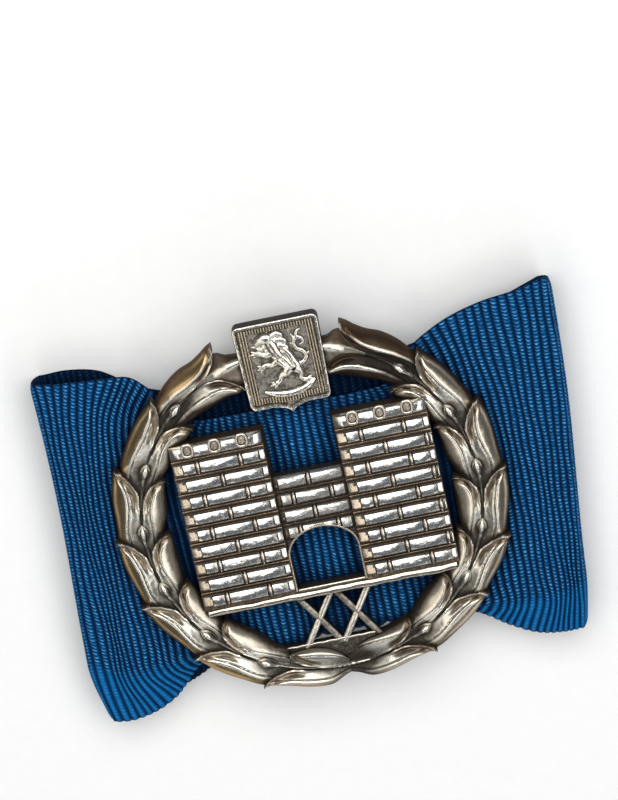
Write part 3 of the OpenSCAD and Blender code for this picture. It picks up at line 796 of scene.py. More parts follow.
def half_wreath(side, name):
    column = 0 if side < 0 else 1
    pieces = []
    start = 0
    last = len(LEAF_PAIRS) - 1
    for k, pair in enumerate(LEAF_PAIRS):
        tip_angle, outer_tip, inner_tip = pair[column], pair[2], pair[3]
        begin = start - COVERED if k else FIRST_START[column]
        inner_end = tip_angle
        if k == last:
            inner_end = TOP_INNER_END
        if k == 0 and side < 0:
            inner_end = FOOT_LEFT_INNER_END
        pieces.append(leaf(side, False, begin, tip_angle, outer_tip, k == 0, k == last))
        pieces.append(leaf(side, True, begin, inner_end, inner_tip, k == 0, k == last))
        if k < last:
            pieces.append(bud(side, tip_angle))
        start = tip_angle
    pieces += [ring_under_leaves(side), stem(side)]
    whole = join(pieces, name)
    smooth_faces(whole, 50)
    return whole


def silver(
    name, low, high, by_height=0.5, polish=0.17, waves=0.3, warmth=1.0, speckle=0.01, grainy=0.015
):
    """Silver with darkened hollows. It turns bright between the heights low and high; by_height weighs
    that against how open a place lies. Polish is the bright metal's roughness, warmth its yellow, and
    waves, speckle and grainy are its ripples, pits and fine grain."""
    metal = Finish(name)
    place = metal.in_mm()
    height = metal.node("SeparateXYZ", {}, {"Vector": place}, out="Z")
    cavity = metal.open_sky(0.6)
    clouds = metal.noise(place, 0.45, detail=2.0)
    ripple = metal.noise(place, 1.2, detail=1.0)
    pits = metal.noise(place, 2.8, detail=2.0)
    grain = metal.noise(place, 5.0, detail=5.0, rough=0.6)
    toned = metal.painted("toned")
    shaded = metal.painted("dark")
    facing = metal.node("NewGeometry", {}, {}, out="Normal")
    upward = metal.node("SeparateXYZ", {}, {"Vector": facing}, out="Z")
    raised = height.between(BACK_Z + low, BACK_Z + high)
    cool = metal.blend(clouds, (0.66, 0.65, 0.62, 1), (0.79, 0.78, 0.76, 1))
    warm = metal.blend(clouds, (0.64, 0.59, 0.5, 1), (0.79, 0.75, 0.66, 1))
    bright = metal.blend(warmth, cool, warm)
    gold = metal.blend(clouds, (0.42, 0.26, 0.1, 1), (0.62, 0.43, 0.21, 1))
    dark = metal.blend(grain, (0.024, 0.019, 0.015, 1), (0.105, 0.088, 0.069, 1))
    # The painted dark values darken the metal: patina in the hollows, and painted shade and painted light
    # where the pieces mark them
    dark = metal.blend(shaded * 0.7, dark, (0.02, 0.015, 0.012, 1))
    dark = metal.blend(toned * 0.6, dark, (0.1, 0.055, 0.028, 1))
    colour = metal.blend(toned * 0.95, bright, gold)
    wear_and_shade = raised * by_height + cavity.between(0.35, 0.97) * (1.12 - by_height)
    wear_and_shade = wear_and_shade + (clouds - 0.5) * 0.25 + (grain - 0.5) * (0.2 + grainy * 4)
    wear_and_shade = wear_and_shade + (pits - 0.5) * (1 - raised) * (0.5 + speckle * 2)
    wear_and_shade = wear_and_shade - shaded * 0.7 - (1 - upward.between(0.0, 0.35)) * 0.8
    polished_and_lit = wear_and_shade.between(0.1, 0.95)
    relief = clouds * (1 - toned * 0.6) * 0.7 + ripple * (1 - toned) * waves
    relief = relief + pits * ((1 - raised) * 0.08 + speckle) + grain * grainy
    metal.set(
        Base_Color=metal.blend(polished_and_lit, dark, colour),
        Metallic=0.55 + polished_and_lit * 0.45,
        Roughness=0.36 - polished_and_lit * (0.36 - polish) + grain * 0.06,
        Specular_IOR_Level=0.25,
        Specular_Tint=(0.45, 0.43, 0.4, 1),
        Normal=metal.bump(relief, 0.12),
    )
    return metal.material


def settle(piece, material):
    """Moves a finished silver piece from the drawing to the frame, gives it its silver and hangs it on
    the root body.
    """
    piece.data.transform(TO_FRAME)
    piece.data.materials.clear()
    piece.data.materials.append(material)
    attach(piece, "root")
    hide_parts("badge")


wreath_silver = silver("silver_wreath", 0.7, 1.7, polish=0.22)
for side, name in ((-1, "wreath_left"), (1, "wreath_right")):
    settle(half_wreath(side, name), wreath_silver)


# The castle gate: two towers of ten courses of raised stones, with three bosses in each top course,
# and a lower wall between them over an open arch. Struck in one with the wreath; the gaps between
# the courses are dark, with a thin bead along each.
CASTLE_X = 0.3
CASTLE_Y = -8.3
TOWER_W = 9.2
GATE_W = 7.1
TOWER_H = 17.3
COURSES = 10
COURSE_H = TOWER_H / COURSES
GROOVE = 0.42
STONE_RISE = 0.55
COURSE_Z = FACE_Z - STONE_RISE
WALL_DROP = 0.5
# How far each tower's inner side spreads towards its back
SKIRT = 0.25
# Upright joints, measured out from the castle's middle line
EVEN_JOINTS = (6.0, 10.25)
ODD_JOINTS = (8.1, 12.2)
JOINT_GAP = 0.38
# How far the facets at a stone's ends reach in: on the tower's left and right side and in a joint
TOWER_FACETS = (1.08, 0.65)
CROWN_FACETS = (0.864, 0.65)
WALL_FACETS = (0.6, 0.3)
JOINT_FACET = 0.08
FACET_FALL = 0.28
STONE_SLOPE = 0.13
STONE_SWELL = 0.22
BARREL_R = 0.23
BEAD_HALF_W = 0.06
# The wall's courses lie level with these courses of the towers
WALL_COURSES = range(3, 7)
WALL_EVEN_JOINTS = (-1.8, 2.0)
WALL_ODD_JOINTS = (0.0,)
# Bosses: places out from the middle line, shift up and upright stretch, then radius, thickness and
# height of the ring, radius and height of the dome, and the pitch of its grooves
BOSSES = (5.5, 8.2, 10.9)
BOSS_UP = 0.24
BOSS_TALL = 1.18
BOSS_RING = (0.5, 0.15, STONE_RISE + 0.2)
BOSS_DOME = (0.42, STONE_RISE + 0.12)
BOSS_GROOVES = 0.28


def cube_between(low, high, name):
    """A cube primitive that fills the box from one corner to the other."""
    bpy.ops.object.select_all(action="DESELECT")
    middle = [(a + b) / 2 for a, b in zip(low, high)]
    bpy.ops.mesh.primitive_cube_add(size=1, location=middle, scale=[b - a for a, b in zip(low, high)])
    bpy.ops.object.transform_apply(location=True, rotation=True, scale=True)
    block = bpy.context.object
    block.name = name
    return block


def pick_faces(block, wanted):
    """Selects the faces for which wanted(face) holds, and opens the piece in edit mode."""
    bpy.ops.object.mode_set(mode="EDIT")
    bpy.ops.mesh.select_mode(type="FACE")
    bpy.ops.mesh.select_all(action="DESELECT")
    bpy.ops.object.mode_set(mode="OBJECT")
    for face in block.data.polygons:
        face.select = wanted(face)
    bpy.ops.object.mode_set(mode="EDIT")


def stone(x0, x1, y0, y1, in0, in1):
    """A raised stone on height 0: flat facets fall to its ends, and its top swells, highest below
    its middle and less so towards its ends."""
    block = cube_between((x0, y0, -0.05), (x1, y1, STONE_RISE - 0.16), "stone")
    h = y1 - y0
    pick_faces(block, lambda face: face.normal.z > 0.9)
    bpy.ops.transform.resize(
        value=(1 - 0.08 / (x1 - x0), (h - 2 * STONE_SLOPE) / h, 1),
        center_override=((x0 + x1) / 2, (y0 + y1) / 2, 0),
    )
    bpy.ops.mesh.bevel(offset=0.06, segments=2, affect="EDGES")
    bpy.ops.object.mode_set(mode="OBJECT")
    pick_faces(block, lambda face: face.normal.z > 0.999 and face.area > 0.1)
    bpy.ops.mesh.subdivide(number_cuts=9)
    left, right = x0 + in0, x1 - in1
    for x in (left, right):
        bpy.ops.mesh.select_all(action="SELECT")
        bpy.ops.mesh.bisect(plane_co=(x, 0, 0), plane_no=(1, 0, 0))
    bpy.ops.object.mode_set(mode="OBJECT")
    # past tells how far out on an end facet a point lies, u runs along the stone and v across it from
    # the swell's highest line
    ends, lower_side_shade = [], []
    for point in block.data.vertices:
        past = max(left - point.co.x, point.co.x - right, 0)
        up = (2 * point.co.y - y0 - y1) / h
        if point.co.z > 0.1:
            u = min(max((2 * point.co.x - left - right) / (right - left), -1), 1)
            high = 0.62 - 0.4 * u * u
            v = min(max(up, -1), 1) + high
            swell = STONE_SWELL * max(1 - (v / (1.5 if v > 0 else 1.2 - high)) ** 2, 0)
            swell += 0.05 * u * (v - high)
            point.co.z += swell * max(1 - past / 0.12, 0) - FACET_FALL * past
        ends.append(in0 > 0.2 and point.co.x < left - 0.05)
        lower_side_shade.append(min(max(-0.6 - 2 * up, 0), 1))
    # A broad facet at the left end is toned beige, a painted warm reflection of the light from the left,
    # and the lower side of the swell is painted dark as painted shade
    paint(block, toned=0.45 * np.array(ends), dark=np.where(ends, 0.1, 0.8 * np.array(lower_side_shade)))
    return block


def barrel(x, y0, y1):
    """The upright bead in a joint, thicker at its middle."""
    middle = (y0 + y1) / 2
    bpy.ops.object.select_all(action="DESELECT")
    bpy.ops.mesh.primitive_cylinder_add(
        vertices=12, radius=BARREL_R, depth=y1 - y0,
        location=(x, middle, 0.3), rotation=(math.pi / 2, 0, 0),
    )
    bpy.ops.object.transform_apply(location=True, rotation=True, scale=True)
    block = bpy.context.object
    pick_faces(block, lambda face: abs(face.normal.y) < 0.5)
    bpy.ops.mesh.subdivide(number_cuts=5)
    bpy.ops.object.mode_set(mode="OBJECT")
    for point in block.data.vertices:
        share = 2 * (point.co.y - middle) / (y1 - y0)
        swell = 0.35 + 0.75 * math.sqrt(max(0, 1 - share * share))
        point.co.x = x + (point.co.x - x) * swell
        point.co.z = (point.co.z - 0.3) * swell * 1.5 + 0.25
    paint(block, toned=0.35, dark=0.05)
    return block


def set_down(piece):
    """Moves the piece's place into its mesh."""
    piece.data.transform(piece.matrix_basis)
    piece.matrix_basis.identity()


def course(x0, x1, joints, facets):
    """Stones from x0 to x1, with their barrels, as one piece that starts at height and y of 0."""
    low, high = GROOVE / 2, COURSE_H - GROOVE / 2
    inner = [x for x in joints if x0 + 0.3 < x < x1 - 0.3]
    ends = [x0] + [x + way * JOINT_GAP / 2 for x in inner for way in (-1, 1)] + [x1]
    pieces = []
    for left, right in zip(ends[0::2], ends[1::2]):
        start = facets[0] if left == x0 else JOINT_FACET
        stop = facets[1] if right == x1 else JOINT_FACET
        share = min(1, 0.9 * (right - left) / (start + stop))
        pieces.append(stone(left, right, low, high, start * share, stop * share))
    for x in inner:
        pieces.append(barrel(x, low, high))
    made = join(pieces, "course")
    set_down(made)
    return made


def boss(x, y):
    """An upright ring, nearly square, round a low dome with grooves down it. It stands out over the
    tower's upper edge."""
    y = y + BOSS_UP
    ring_r, wire_r, ring_z = BOSS_RING
    dome_r, dome_z = BOSS_DOME
    bpy.ops.object.select_all(action="DESELECT")
    bpy.ops.mesh.primitive_torus_add(
        major_radius=ring_r, minor_radius=wire_r, major_segments=32, minor_segments=10,
        location=(x, y, ring_z),
    )
    ring = bpy.context.object
    bpy.ops.object.select_all(action="DESELECT")
    bpy.ops.mesh.primitive_uv_sphere_add(
        segments=32, ring_count=20, radius=dome_r, location=(x, y, dome_z)
    )
    dome = bpy.context.object
    bpy.ops.object.mode_set(mode="EDIT")
    bpy.ops.mesh.select_all(action="SELECT")
    bpy.ops.transform.resize(value=(1, 1, 0.4), center_override=(x, y, dome_z))
    bpy.ops.object.mode_set(mode="OBJECT")
    made = join([ring, dome], "boss")
    set_down(made)
    on_ring_part = []
    for point in made.data.vertices:
        dx, dy = point.co.x - x, point.co.y - y
        away = math.hypot(dx, dy)
        on_ring_part.append(away > 0.4)
        if away < 0.4 and point.co.z > dome_z:
            groove = 1 - math.cos(dx * 2 * math.pi / BOSS_GROOVES)
            point.co.z -= 0.045 * groove * (1 - away / dome_r)
        if away > 0.01:
            square = away / (abs(dx) ** 3 + abs(dy) ** 3) ** (1 / 3)
            point.co.x, point.co.y = x + dx * square, y + dy * square * BOSS_TALL
    paint(made, dark=np.where(on_ring_part, 0.1, 0.75), toned=np.where(on_ring_part, 0.35, 0.4))
    return made


def moved_copy(piece, by):
    twin = piece.copy()
    twin.data = piece.data.copy()
    bpy.context.collection.objects.link(twin)
    set_down(twin)
    twin.data.transform(Matrix.Translation(by))
    return twin


def apply_modifier(piece, modifier):
    select(piece)
    bpy.ops.object.modifier_apply(modifier=modifier.name)


def bevel_all(block, width, segments):
    soften = block.modifiers.new("soften", "BEVEL")
    soften.width = width
    soften.segments = segments
    soften.limit_method = "ANGLE"
    apply_modifier(block, soften)


def bead(x0, x1, y, z):
    block = cube_between((x0, y - BEAD_HALF_W, z - 0.1), (x1, y + BEAD_HALF_W, z + 0.2), "bead")
    bevel_all(block, 0.05, 2)
    paint(block, toned=0.7, dark=0.45)
    return block


def stack(models, numbers, left, right, z):
    """Copies of the courses one above another, with a bead along the gap under each but the first."""
    pieces = []
    for k in numbers:
        y = CASTLE_Y + k * COURSE_H
        pieces.append(moved_copy(models[k], (CASTLE_X, y, z)))
        if k > 0:
            pieces.append(bead(CASTLE_X + left, CASTLE_X + right, y, z))
    return pieces


def tower_body(way, left, right):
    """The plain block behind the stones, wider at its back on the side towards the arch."""
    body = cube_between(
        (CASTLE_X + left, CASTLE_Y - 0.2, BACK_Z),
        (CASTLE_X + right, CASTLE_Y + TOWER_H - GROOVE / 2, COURSE_Z),
        "body",
    )
    pick_faces(body, lambda face: face.normal.z < -0.9)
    bpy.ops.transform.translate(value=(-way * SKIRT / 2, 0, 0))
    bpy.ops.transform.resize(
        value=((TOWER_W + SKIRT) / TOWER_W, 1, 1),
        center_override=(CASTLE_X + (left + right - way * SKIRT) / 2, 0, 0),
    )
    bpy.ops.object.mode_set(mode="OBJECT")
    bevel_all(body, 0.08, 2)
    paint(body, toned=0.6, dark=0.48)
    return body


def make_tower(way):
    left, right = sorted((way * GATE_W / 2, way * (GATE_W / 2 + TOWER_W)))
    odd_joints = ODD_JOINTS if way > 0 else ODD_JOINTS[:1]
    even = course(left, right, sorted(way * x for x in EVEN_JOINTS), TOWER_FACETS)
    odd = course(left, right, sorted(way * x for x in odd_joints), TOWER_FACETS)
    crown = course(left, right, (), CROWN_FACETS)
    crown = join([crown] + [boss(way * x, COURSE_H / 2) for x in BOSSES], "crown")
    models = [even, odd] * (COURSES // 2)
    models[-1] = crown
    pieces = stack(models, range(COURSES), left, right, COURSE_Z)
    for model in (even, odd, crown):
        bpy.data.objects.remove(model)
    return pieces + [tower_body(way, left, right)]


def make_wall():
    half, z = GATE_W / 2, COURSE_Z - WALL_DROP
    even = course(-half, half, WALL_EVEN_JOINTS, WALL_FACETS)
    odd = course(-half, half, WALL_ODD_JOINTS, WALL_FACETS)
    pieces = stack([odd, even] * (COURSES // 2), WALL_COURSES, -half, half, z)
    for model in (even, odd):
        bpy.data.objects.remove(model)
    pieces.append(cube_between(
        (CASTLE_X - half - 0.05, CASTLE_Y + 2, BACK_Z + 0.15),
        (CASTLE_X + half + 0.05, CASTLE_Y + WALL_COURSES.stop * COURSE_H - GROOVE / 2, z),
        "wall_body",
    ))
    return join(pieces, "gate_wall")


# The arch: its width and height, the height of its round part, and the thin rim round it
ARCH_W = 6.8
ARCH_H = 6.2
ARCH_CURVE = 2.6
ARCH_RIM_R = 0.14


def arch_line(grow, steps=24):
    """The arch from its left foot over to its right foot, in the castle's drawing."""
    half, spring = ARCH_W / 2 + grow, ARCH_H - ARCH_CURVE
    line = [(-half, 0.0)]
    for i in range(steps + 1):
        turn = math.pi * (1 - i / steps)
        line.append((half * math.cos(turn), spring + (ARCH_CURVE + grow) * math.sin(turn)))
    line.append((half, 0.0))
    return [(CASTLE_X + x, CASTLE_Y + y) for x, y in line]


def cut_arch(wall):
    """Pierces the wall with the arch."""
    outline = arch_line(0)
    outline = [(outline[0][0], CASTLE_Y - 2)] + outline + [(outline[-1][0], CASTLE_Y - 2)]
    n = len(outline)
    mesh = bpy.data.meshes.new("arch_cutter")
    mesh.from_pydata(
        [(x, y, BACK_Z - 1) for x, y in outline] + [(x, y, FACE_Z + 1) for x, y in outline],
        [],
        [tuple(range(n)), tuple(range(2 * n - 1, n - 1, -1))]
        + [(i, n + i, n + (i + 1) % n, (i + 1) % n) for i in range(n)],
    )
    cutter = bpy.data.objects.new("arch_cutter", mesh)
    bpy.context.collection.objects.link(cutter)
    close_seams(cutter)
    cut = wall.modifiers.new("arch", "BOOLEAN")
    cut.object = cutter
    cut.operation = "DIFFERENCE"
    cut.solver = "EXACT"
    cut.use_self = True
    apply_modifier(wall, cut)
    bpy.data.objects.remove(cutter)


def rod(points, radii, name, flat=1.0):
    """A rod along the points, with a radius for each, round or flattened."""
    data = bpy.data.curves.new(name, "CURVE")
    data.dimensions = "3D"
    data.bevel_depth = 1.0
    data.bevel_resolution = 5
    data.use_fill_caps = True
    spline = data.splines.new("POLY")
    spline.points.add(len(points) - 1)
    for knot, point, radius in zip(spline.points, points, radii):
        knot.co = (*point, 1)
        knot.radius = radius
    made = bpy.data.objects.new(name, data)
    bpy.context.collection.objects.link(made)
    select(made)
    bpy.ops.object.convert(target="MESH")
    made = bpy.context.object
    base = points[0][2]
    for point in made.data.vertices:
        point.co.z = base + (point.co.z - base) * flat
    return made


castle_silver = silver(
    "silver_castle", 1.9, 2.45, polish=0.15, waves=0.45, warmth=0.35, speckle=0.06, grainy=0.14
)
towers = join(make_tower(-1) + make_tower(1), "castle_towers")
wall = make_wall()
cut_arch(wall)
rim_line = [(x, y, FACE_Z - WALL_DROP - 0.08) for x, y in arch_line(0.08)]
rim = rod(rim_line, [ARCH_RIM_R] * len(rim_line), "arch_rim")
smooth_faces(towers, 40)
smooth_faces(wall, 40)
smooth_faces(rim, 60)
paint(rim, toned=0.45, dark=0.2)
for piece in (towers, wall, rim):
    settle(piece, castle_silver)


# The base bar under the castle and the two crosses between it and the foot of the wreath: plain
# rods and struts of the same silver, each with a bright upper edge.
BAR_Y = (-9.3, -8.2)
BAR_REACH = 12.6
BAR_RISE = 2.1
BAR_ROD_R = 0.32
BAR_STEPS = 40
CROSS_X = (-1.98, 1.78)
CROSS_Y = (-9.1, -14.5)
CROSS_HALF_W = 1.75
STRUT_W = 0.62
STRUT_RISE = 1.25
# The plate at the foot: its left, right and lower side, and its height over the badge's back
SILL = (-5.4, 3.4, -15.9, 1.1)
SILL_RIM_R = 0.14


def make_bar():
    left, right = CASTLE_X - BAR_REACH, CASTLE_X + BAR_REACH
    plinth_z = BACK_Z + BAR_RISE - 0.45
    plinth = cube_between((left, BAR_Y[0], BACK_Z), (right, BAR_Y[1], plinth_z), "base_bar")
    bevel_all(plinth, 0.15, 3)
    middle = (BAR_Y[0] + BAR_Y[1]) / 2 - 0.08
    points, radii = [], []
    for i in range(BAR_STEPS + 1):
        share = i / BAR_STEPS
        x = left + 0.2 + (right - left - 0.4) * share
        waver = 0.03 * math.sin(1.1 * x) + 0.02 * math.sin(2.7 * x)
        points.append((x, middle + waver, BACK_Z + BAR_RISE - 0.25))
        radii.append(BAR_ROD_R + 0.1 * share + 0.03 * math.sin(1.9 * x + 1))
    # The rod is flattened, and its broad side faces up and back, more so towards its right end
    top = rod(points, radii, "bar_rod", 0.6)
    for point in top.data.vertices:
        lean = 0.08 + 0.16 * (point.co.x - left) / (right - left) + 0.06 * math.sin(1.3 * point.co.x)
        point.co.z -= lean * (point.co.y - middle)
    bar = join([plinth, top], "base_bar")
    paint(bar, toned=0.3)
    smooth_faces(bar, 50)
    return bar


def strut(x0, x1):
    """A strut with a ridge along it, from the bar down to the wreath."""
    length = math.hypot(x1 - x0, CROSS_Y[1] - CROSS_Y[0])
    half = length / 2 + 0.1
    block = cube_between((-STRUT_W / 2, -half, 0.2), (STRUT_W / 2, half, STRUT_RISE - 0.1), "strut")
    pick_faces(block, lambda face: face.normal.z > 0.9)
    bpy.ops.mesh.extrude_region_move(TRANSFORM_OT_translate={"value": (0, 0, 0.1)})
    bpy.ops.transform.resize(value=(0.08, 1, 1), center_override=(0, 0, STRUT_RISE))
    bpy.ops.object.mode_set(mode="OBJECT")
    bevel_all(block, 0.04, 2)
    # Painted shade: the struts that run down to the right are painted darker than those that run down to
    # the left
    paint(block, dark=0.4 if x1 > x0 else 0.0)
    turn = math.atan2(CROSS_Y[1] - CROSS_Y[0], x1 - x0) - math.pi / 2
    middle = (CASTLE_X + (x0 + x1) / 2, (CROSS_Y[0] + CROSS_Y[1]) / 2, BACK_Z)
    block.data.transform(Matrix.Translation(middle) @ Matrix.Rotation(turn, 4, "Z"))
    return block


def make_sill():
    """The plate between the inner leaves of the foot, with a thin rim, that carries the crosses."""
    left, right, low, rise = SILL
    high = CROSS_Y[1] + 0.25
    plate = cube_between((left, low, BACK_Z + 0.1), (right, high + 0.1, BACK_Z + rise), "sill")
    bevel_all(plate, 0.08, 2)
    paint(plate, dark=0.6)
    points = [
        (left + (right - left) * i / 20, high + 0.03 * math.sin(2.1 * i), BACK_Z + rise + 0.02)
        for i in range(21)
    ]
    return join([plate, rod(points, [SILL_RIM_R] * len(points), "sill_rim")], "sill")


plain_silver = silver("silver_bars", 1.0, 2.2, polish=0.16)
bar = make_bar()
sill = make_sill()
struts = [strut(x - way * CROSS_HALF_W, x + way * CROSS_HALF_W) for x in CROSS_X for way in (-1, 1)]
crosses = join([sill] + struts, "crosses")
smooth_faces(crosses, 35)
settle(bar, plain_silver)
settle(crosses, plain_silver)


# The shield over the wreath: a small plate with a raised rim, fine upright lines across its field
# and a rearing beast over a strip of ground in low relief, struck in one with the rest.
SHIELD_X = 0.3
SHIELD_TOP = 19.3
SHIELD_W = 8.5
SHIELD_LOW = -8.65
SHIELD_TAPER = 0.25
SHIELD_CORNER = 0.6
SHIELD_RISE = 1.55
RIM_W = 0.34
RIM_RISE = 0.25
HATCHES = 27
HATCH_W = 0.16
HATCH_RISE = 0.14
HATCH_TOP = -0.45
# The middle of the field has no lines: half its width, its top and its foot
PLAIN_FIELD = (2.95, -0.95, -7.55)
# Points of the pointed foot from right to left, over the shield's lower edge
FOOT = [
    (1.7, 0.02), (1.2, -0.1), (0.6, -0.28), (0.25, -0.5), (0, -0.75),
    (-0.25, -0.5), (-0.6, -0.28), (-1.2, -0.1), (-1.7, 0.02),
]
# Limbs of the beast and the ground under it, each a row of x, y and thickness, with x and y from the
# middle of the shield's top; a limb's radius is its thickness times LIMB_R
LIMB_R = 1.45
BEAST = [
    [(-0.7, -1.7, 0.4), (-1.2, -1.6, 0.44), (-1.75, -1.75, 0.36), (-2.25, -2.05, 0.2)],
    [(-0.9, -2.0, 0.42), (-0.65, -2.5, 0.45), (-0.45, -3.1, 0.42), (-0.1, -3.7, 0.36)],
    [(-1.5, -1.35, 0.16), (-1.9, -1.4, 0.12), (-2.2, -1.6, 0.07)],
    [(-1.2, -2.35, 0.25), (-1.75, -2.55, 0.2), (-2.2, -2.45, 0.1)],
    [(-1.8, -2.2, 0.1), (-2.35, -2.3, 0.1), (-2.7, -2.15, 0.05)],
    [(-1.0, -1.35, 0.2), (-0.85, -0.95, 0.08)],
    [(-0.7, -1.6, 0.28), (-0.1, -1.3, 0.22), (0.4, -1.5, 0.16), (0.4, -1.85, 0.08)],
    [(-0.8, -2.05, 0.28), (0.05, -1.95, 0.24), (0.65, -2.15, 0.17), (0.65, -2.5, 0.08)],
    [(-0.7, -2.5, 0.28), (0.1, -2.55, 0.24), (0.75, -2.85, 0.17), (0.7, -3.2, 0.08)],
    [(-0.75, -2.9, 0.28), (-0.05, -3.1, 0.24), (0.3, -3.4, 0.17), (0.2, -3.7, 0.08)],
    [(-0.95, -2.6, 0.26), (-1.35, -2.95, 0.2), (-1.3, -3.3, 0.09)],
    [(0.3, -2.9, 0.26), (0.8, -3.6, 0.26), (1.05, -4.3, 0.3), (1.3, -4.9, 0.36)],
    [(-0.8, -3.0, 0.28), (-0.55, -3.7, 0.3), (-0.1, -4.4, 0.26), (0.5, -4.95, 0.32)],
    [(-0.25, -3.4, 0.24), (0.15, -3.9, 0.26), (0.5, -4.4, 0.26), (0.9, -5.0, 0.3)],
    [(-0.75, -3.1, 0.28), (-1.4, -3.3, 0.24), (-2.0, -3.05, 0.18), (-2.4, -2.95, 0.21)],
    [(-2.35, -2.9, 0.14), (-2.8, -2.65, 0.07)],
    [(-2.4, -3.0, 0.14), (-2.9, -3.0, 0.07)],
    [(-2.3, -3.1, 0.13), (-2.7, -3.35, 0.06)],
    [(-0.4, -3.95, 0.3), (-1.0, -4.35, 0.24), (-1.6, -4.3, 0.18), (-2.0, -4.45, 0.21)],
    [(-2.0, -4.4, 0.14), (-2.5, -4.2, 0.07)],
    [(-2.05, -4.5, 0.14), (-2.6, -4.65, 0.07)],
    [(-1.95, -4.6, 0.13), (-2.3, -5.0, 0.06)],
    [(0.6, -4.95, 0.38), (0.1, -5.35, 0.34), (-0.4, -5.6, 0.24), (-0.6, -6.05, 0.18), (-1.0, -6.3, 0.21)],
    [(-1.0, -6.25, 0.14), (-1.5, -6.1, 0.07)],
    [(-1.05, -6.35, 0.14), (-1.65, -6.45, 0.07)],
    [(-0.95, -6.45, 0.13), (-1.3, -6.8, 0.06)],
    [(1.2, -5.05, 0.42), (1.55, -5.6, 0.3), (1.45, -6.05, 0.2), (1.7, -6.4, 0.18), (2.1, -6.45, 0.2)],
    [(2.1, -6.35, 0.13), (2.55, -6.15, 0.06)],
    [(2.15, -6.45, 0.13), (2.7, -6.5, 0.06)],
    [
        (1.35, -4.75, 0.2), (1.95, -4.65, 0.18), (2.4, -4.15, 0.17), (2.2, -3.55, 0.17),
        (1.65, -3.2, 0.16), (1.45, -2.6, 0.16), (1.8, -2.1, 0.16), (2.3, -2.25, 0.14),
        (2.35, -2.7, 0.12), (2.0, -2.85, 0.08),
    ],
    [(2.3, -4.0, 0.15), (2.8, -3.7, 0.06)],
    [(1.55, -2.9, 0.14), (1.1, -2.5, 0.06)],
    [(1.8, -2.1, 0.16), (1.95, -1.5, 0.12), (2.4, -1.25, 0.06)],
    [(1.6, -2.25, 0.14), (1.35, -1.6, 0.06)],
]
GROUND = [
    (-2.3, -6.95, 0.12), (-1.5, -7.25, 0.22), (-0.6, -7.45, 0.26), (0.4, -7.5, 0.28),
    (1.4, -7.3, 0.28), (2.2, -6.95, 0.24), (2.8, -6.5, 0.12),
]


def shield_outline():
    """Points of the shield's outline, clockwise from the left end of its top."""
    half, low, r = SHIELD_W / 2, SHIELD_LOW, SHIELD_CORNER

    def corner(x, y, start):
        turns = [math.radians(start - 15 * i) for i in range(7)]
        return [(x + r * math.cos(turn), y + r * math.sin(turn)) for turn in turns]

    return (
        corner(-half + r, -r, 180)
        + corner(half - r, -r, 90)
        + corner(half - SHIELD_TAPER - r, low + r, 0)
        + [(x, low + y) for x, y in FOOT]
        + corner(-half + SHIELD_TAPER + r, low + r, -90)
    )


def make_plate():
    outline = [(SHIELD_X + x, SHIELD_TOP + y) for x, y in shield_outline()]
    mesh = bpy.data.meshes.new("shield")
    mesh.from_pydata([(x, y, BACK_Z + 0.1) for x, y in outline], [], [tuple(range(len(outline)))])
    plate = bpy.data.objects.new("shield", mesh)
    bpy.context.collection.objects.link(plate)
    select(plate)
    bpy.ops.object.mode_set(mode="EDIT")
    bpy.ops.mesh.select_all(action="SELECT")
    rise = SHIELD_RISE + RIM_RISE - 0.1
    bpy.ops.mesh.extrude_region_move(TRANSFORM_OT_translate={"value": (0, 0, rise)})
    bpy.ops.mesh.bevel(offset=0.1, segments=3, affect="EDGES")
    bpy.ops.mesh.select_all(action="SELECT")
    bpy.ops.mesh.normals_make_consistent(inside=False)
    bpy.ops.object.mode_set(mode="OBJECT")
    pick_faces(plate, lambda face: face.normal.z > 0.99 and face.center.z > BACK_Z + 1 and face.area > 5)
    bpy.ops.mesh.inset(thickness=RIM_W - 0.1)
    bpy.ops.mesh.inset(thickness=0.1)
    bpy.ops.transform.translate(value=(0, 0, -RIM_RISE))
    bpy.ops.object.mode_set(mode="OBJECT")
    # The plate's outer walls are dark
    around = np.array(outline)
    off_wall = [np.hypot(*(around - point.co[:2]).T).min() for point in plate.data.vertices]
    paint(plate, dark=np.where(np.array(off_wall) < 0.01, 1.4, 0.0))
    return plate


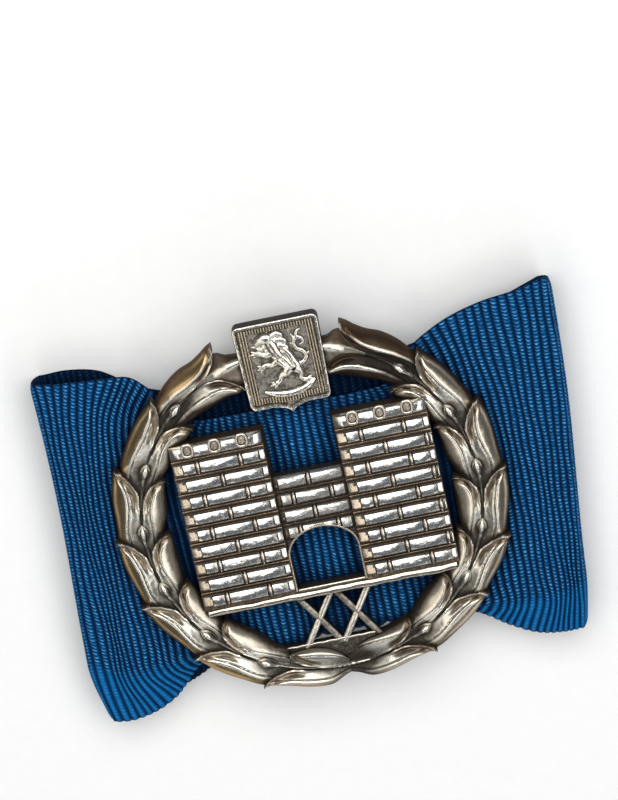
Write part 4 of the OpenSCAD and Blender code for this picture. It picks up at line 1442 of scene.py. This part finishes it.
def make_hatches():
    pitch = (SHIELD_W - 2 * RIM_W - 0.4) / HATCHES
    field_z = BACK_Z + SHIELD_RISE
    wide, upper, lower = PLAIN_FIELD
    lines = []
    for i in range(HATCHES):
        x = (i - (HATCHES - 1) / 2) * pitch
        foot = SHIELD_LOW + 0.55 - 0.25 * max(0, 1 - (x / 2) ** 2)
        ends = [(foot, lower), (upper, HATCH_TOP)] if abs(x) < wide else [(foot, HATCH_TOP)]
        for low, high in ends:
            line = cube_between(
                (SHIELD_X + x - HATCH_W / 2, SHIELD_TOP + low, field_z - 0.05),
                (SHIELD_X + x + HATCH_W / 2, SHIELD_TOP + high, field_z + HATCH_RISE),
                "hatch",
            )
            bevel_all(line, 0.06, 3)
            paint(line, toned=0.5)
            lines.append(line)
    return lines


def make_beast():
    z = BACK_Z + SHIELD_RISE + 0.02
    limbs = []
    for row in BEAST + [GROUND]:
        row = np.array(row)
        fine = smooth(row, np.linspace(0, len(row) - 1.001, 5 * len(row)), False)
        points = [(SHIELD_X + x, SHIELD_TOP + y, z) for x, y, r in fine]
        limbs.append(rod(points, [LIMB_R * max(float(r), 0.05) for x, y, r in fine], "limb", 0.8))
    beast = join(limbs, "beast")
    beast.data.remesh_voxel_size = 0.05
    bpy.ops.object.voxel_remesh()
    soft = beast.modifiers.new("soft", "SMOOTH")
    soft.factor = 0.5
    soft.iterations = 3
    apply_modifier(beast, soft)
    return beast


shield_silver = silver("silver_shield", 1.5, 1.85, 0.72, speckle=0.35, grainy=0.06)
shield = join([make_plate()] + make_hatches(), "shield")
beast = make_beast()
smooth_faces(shield, 40)
smooth_faces(beast, 180)
settle(shield, shield_silver)
settle(beast, shield_silver)


# The brooch pin behind the ribbon: a bar, two posts that carry the badge, and a needle between its
# hinge and its catch, all of white metal with a satin finish.
def satin_metal():
    metal = Finish("satin_white_metal")
    place = metal.in_mm()
    along_bar = metal.node("Mapping", {}, {"Vector": place, "Scale": (0.4, 9.0, 9.0)})
    brushed = metal.noise(along_bar, 2.0)
    clouds = metal.noise(place, 0.6)
    metal.set(
        Base_Color=metal.blend(clouds, (0.6, 0.58, 0.54, 1), (0.72, 0.7, 0.66, 1)),
        Metallic=1.0,
        Roughness=0.28 + brushed * 0.2,
        Normal=metal.bump(brushed, 0.02),
    )
    return metal.material


pin_metal = satin_metal()
for piece in bpy.data.objects:
    if piece.name.startswith("brooch_pin"):
        piece.data.materials.clear()
        piece.data.materials.append(pin_metal)
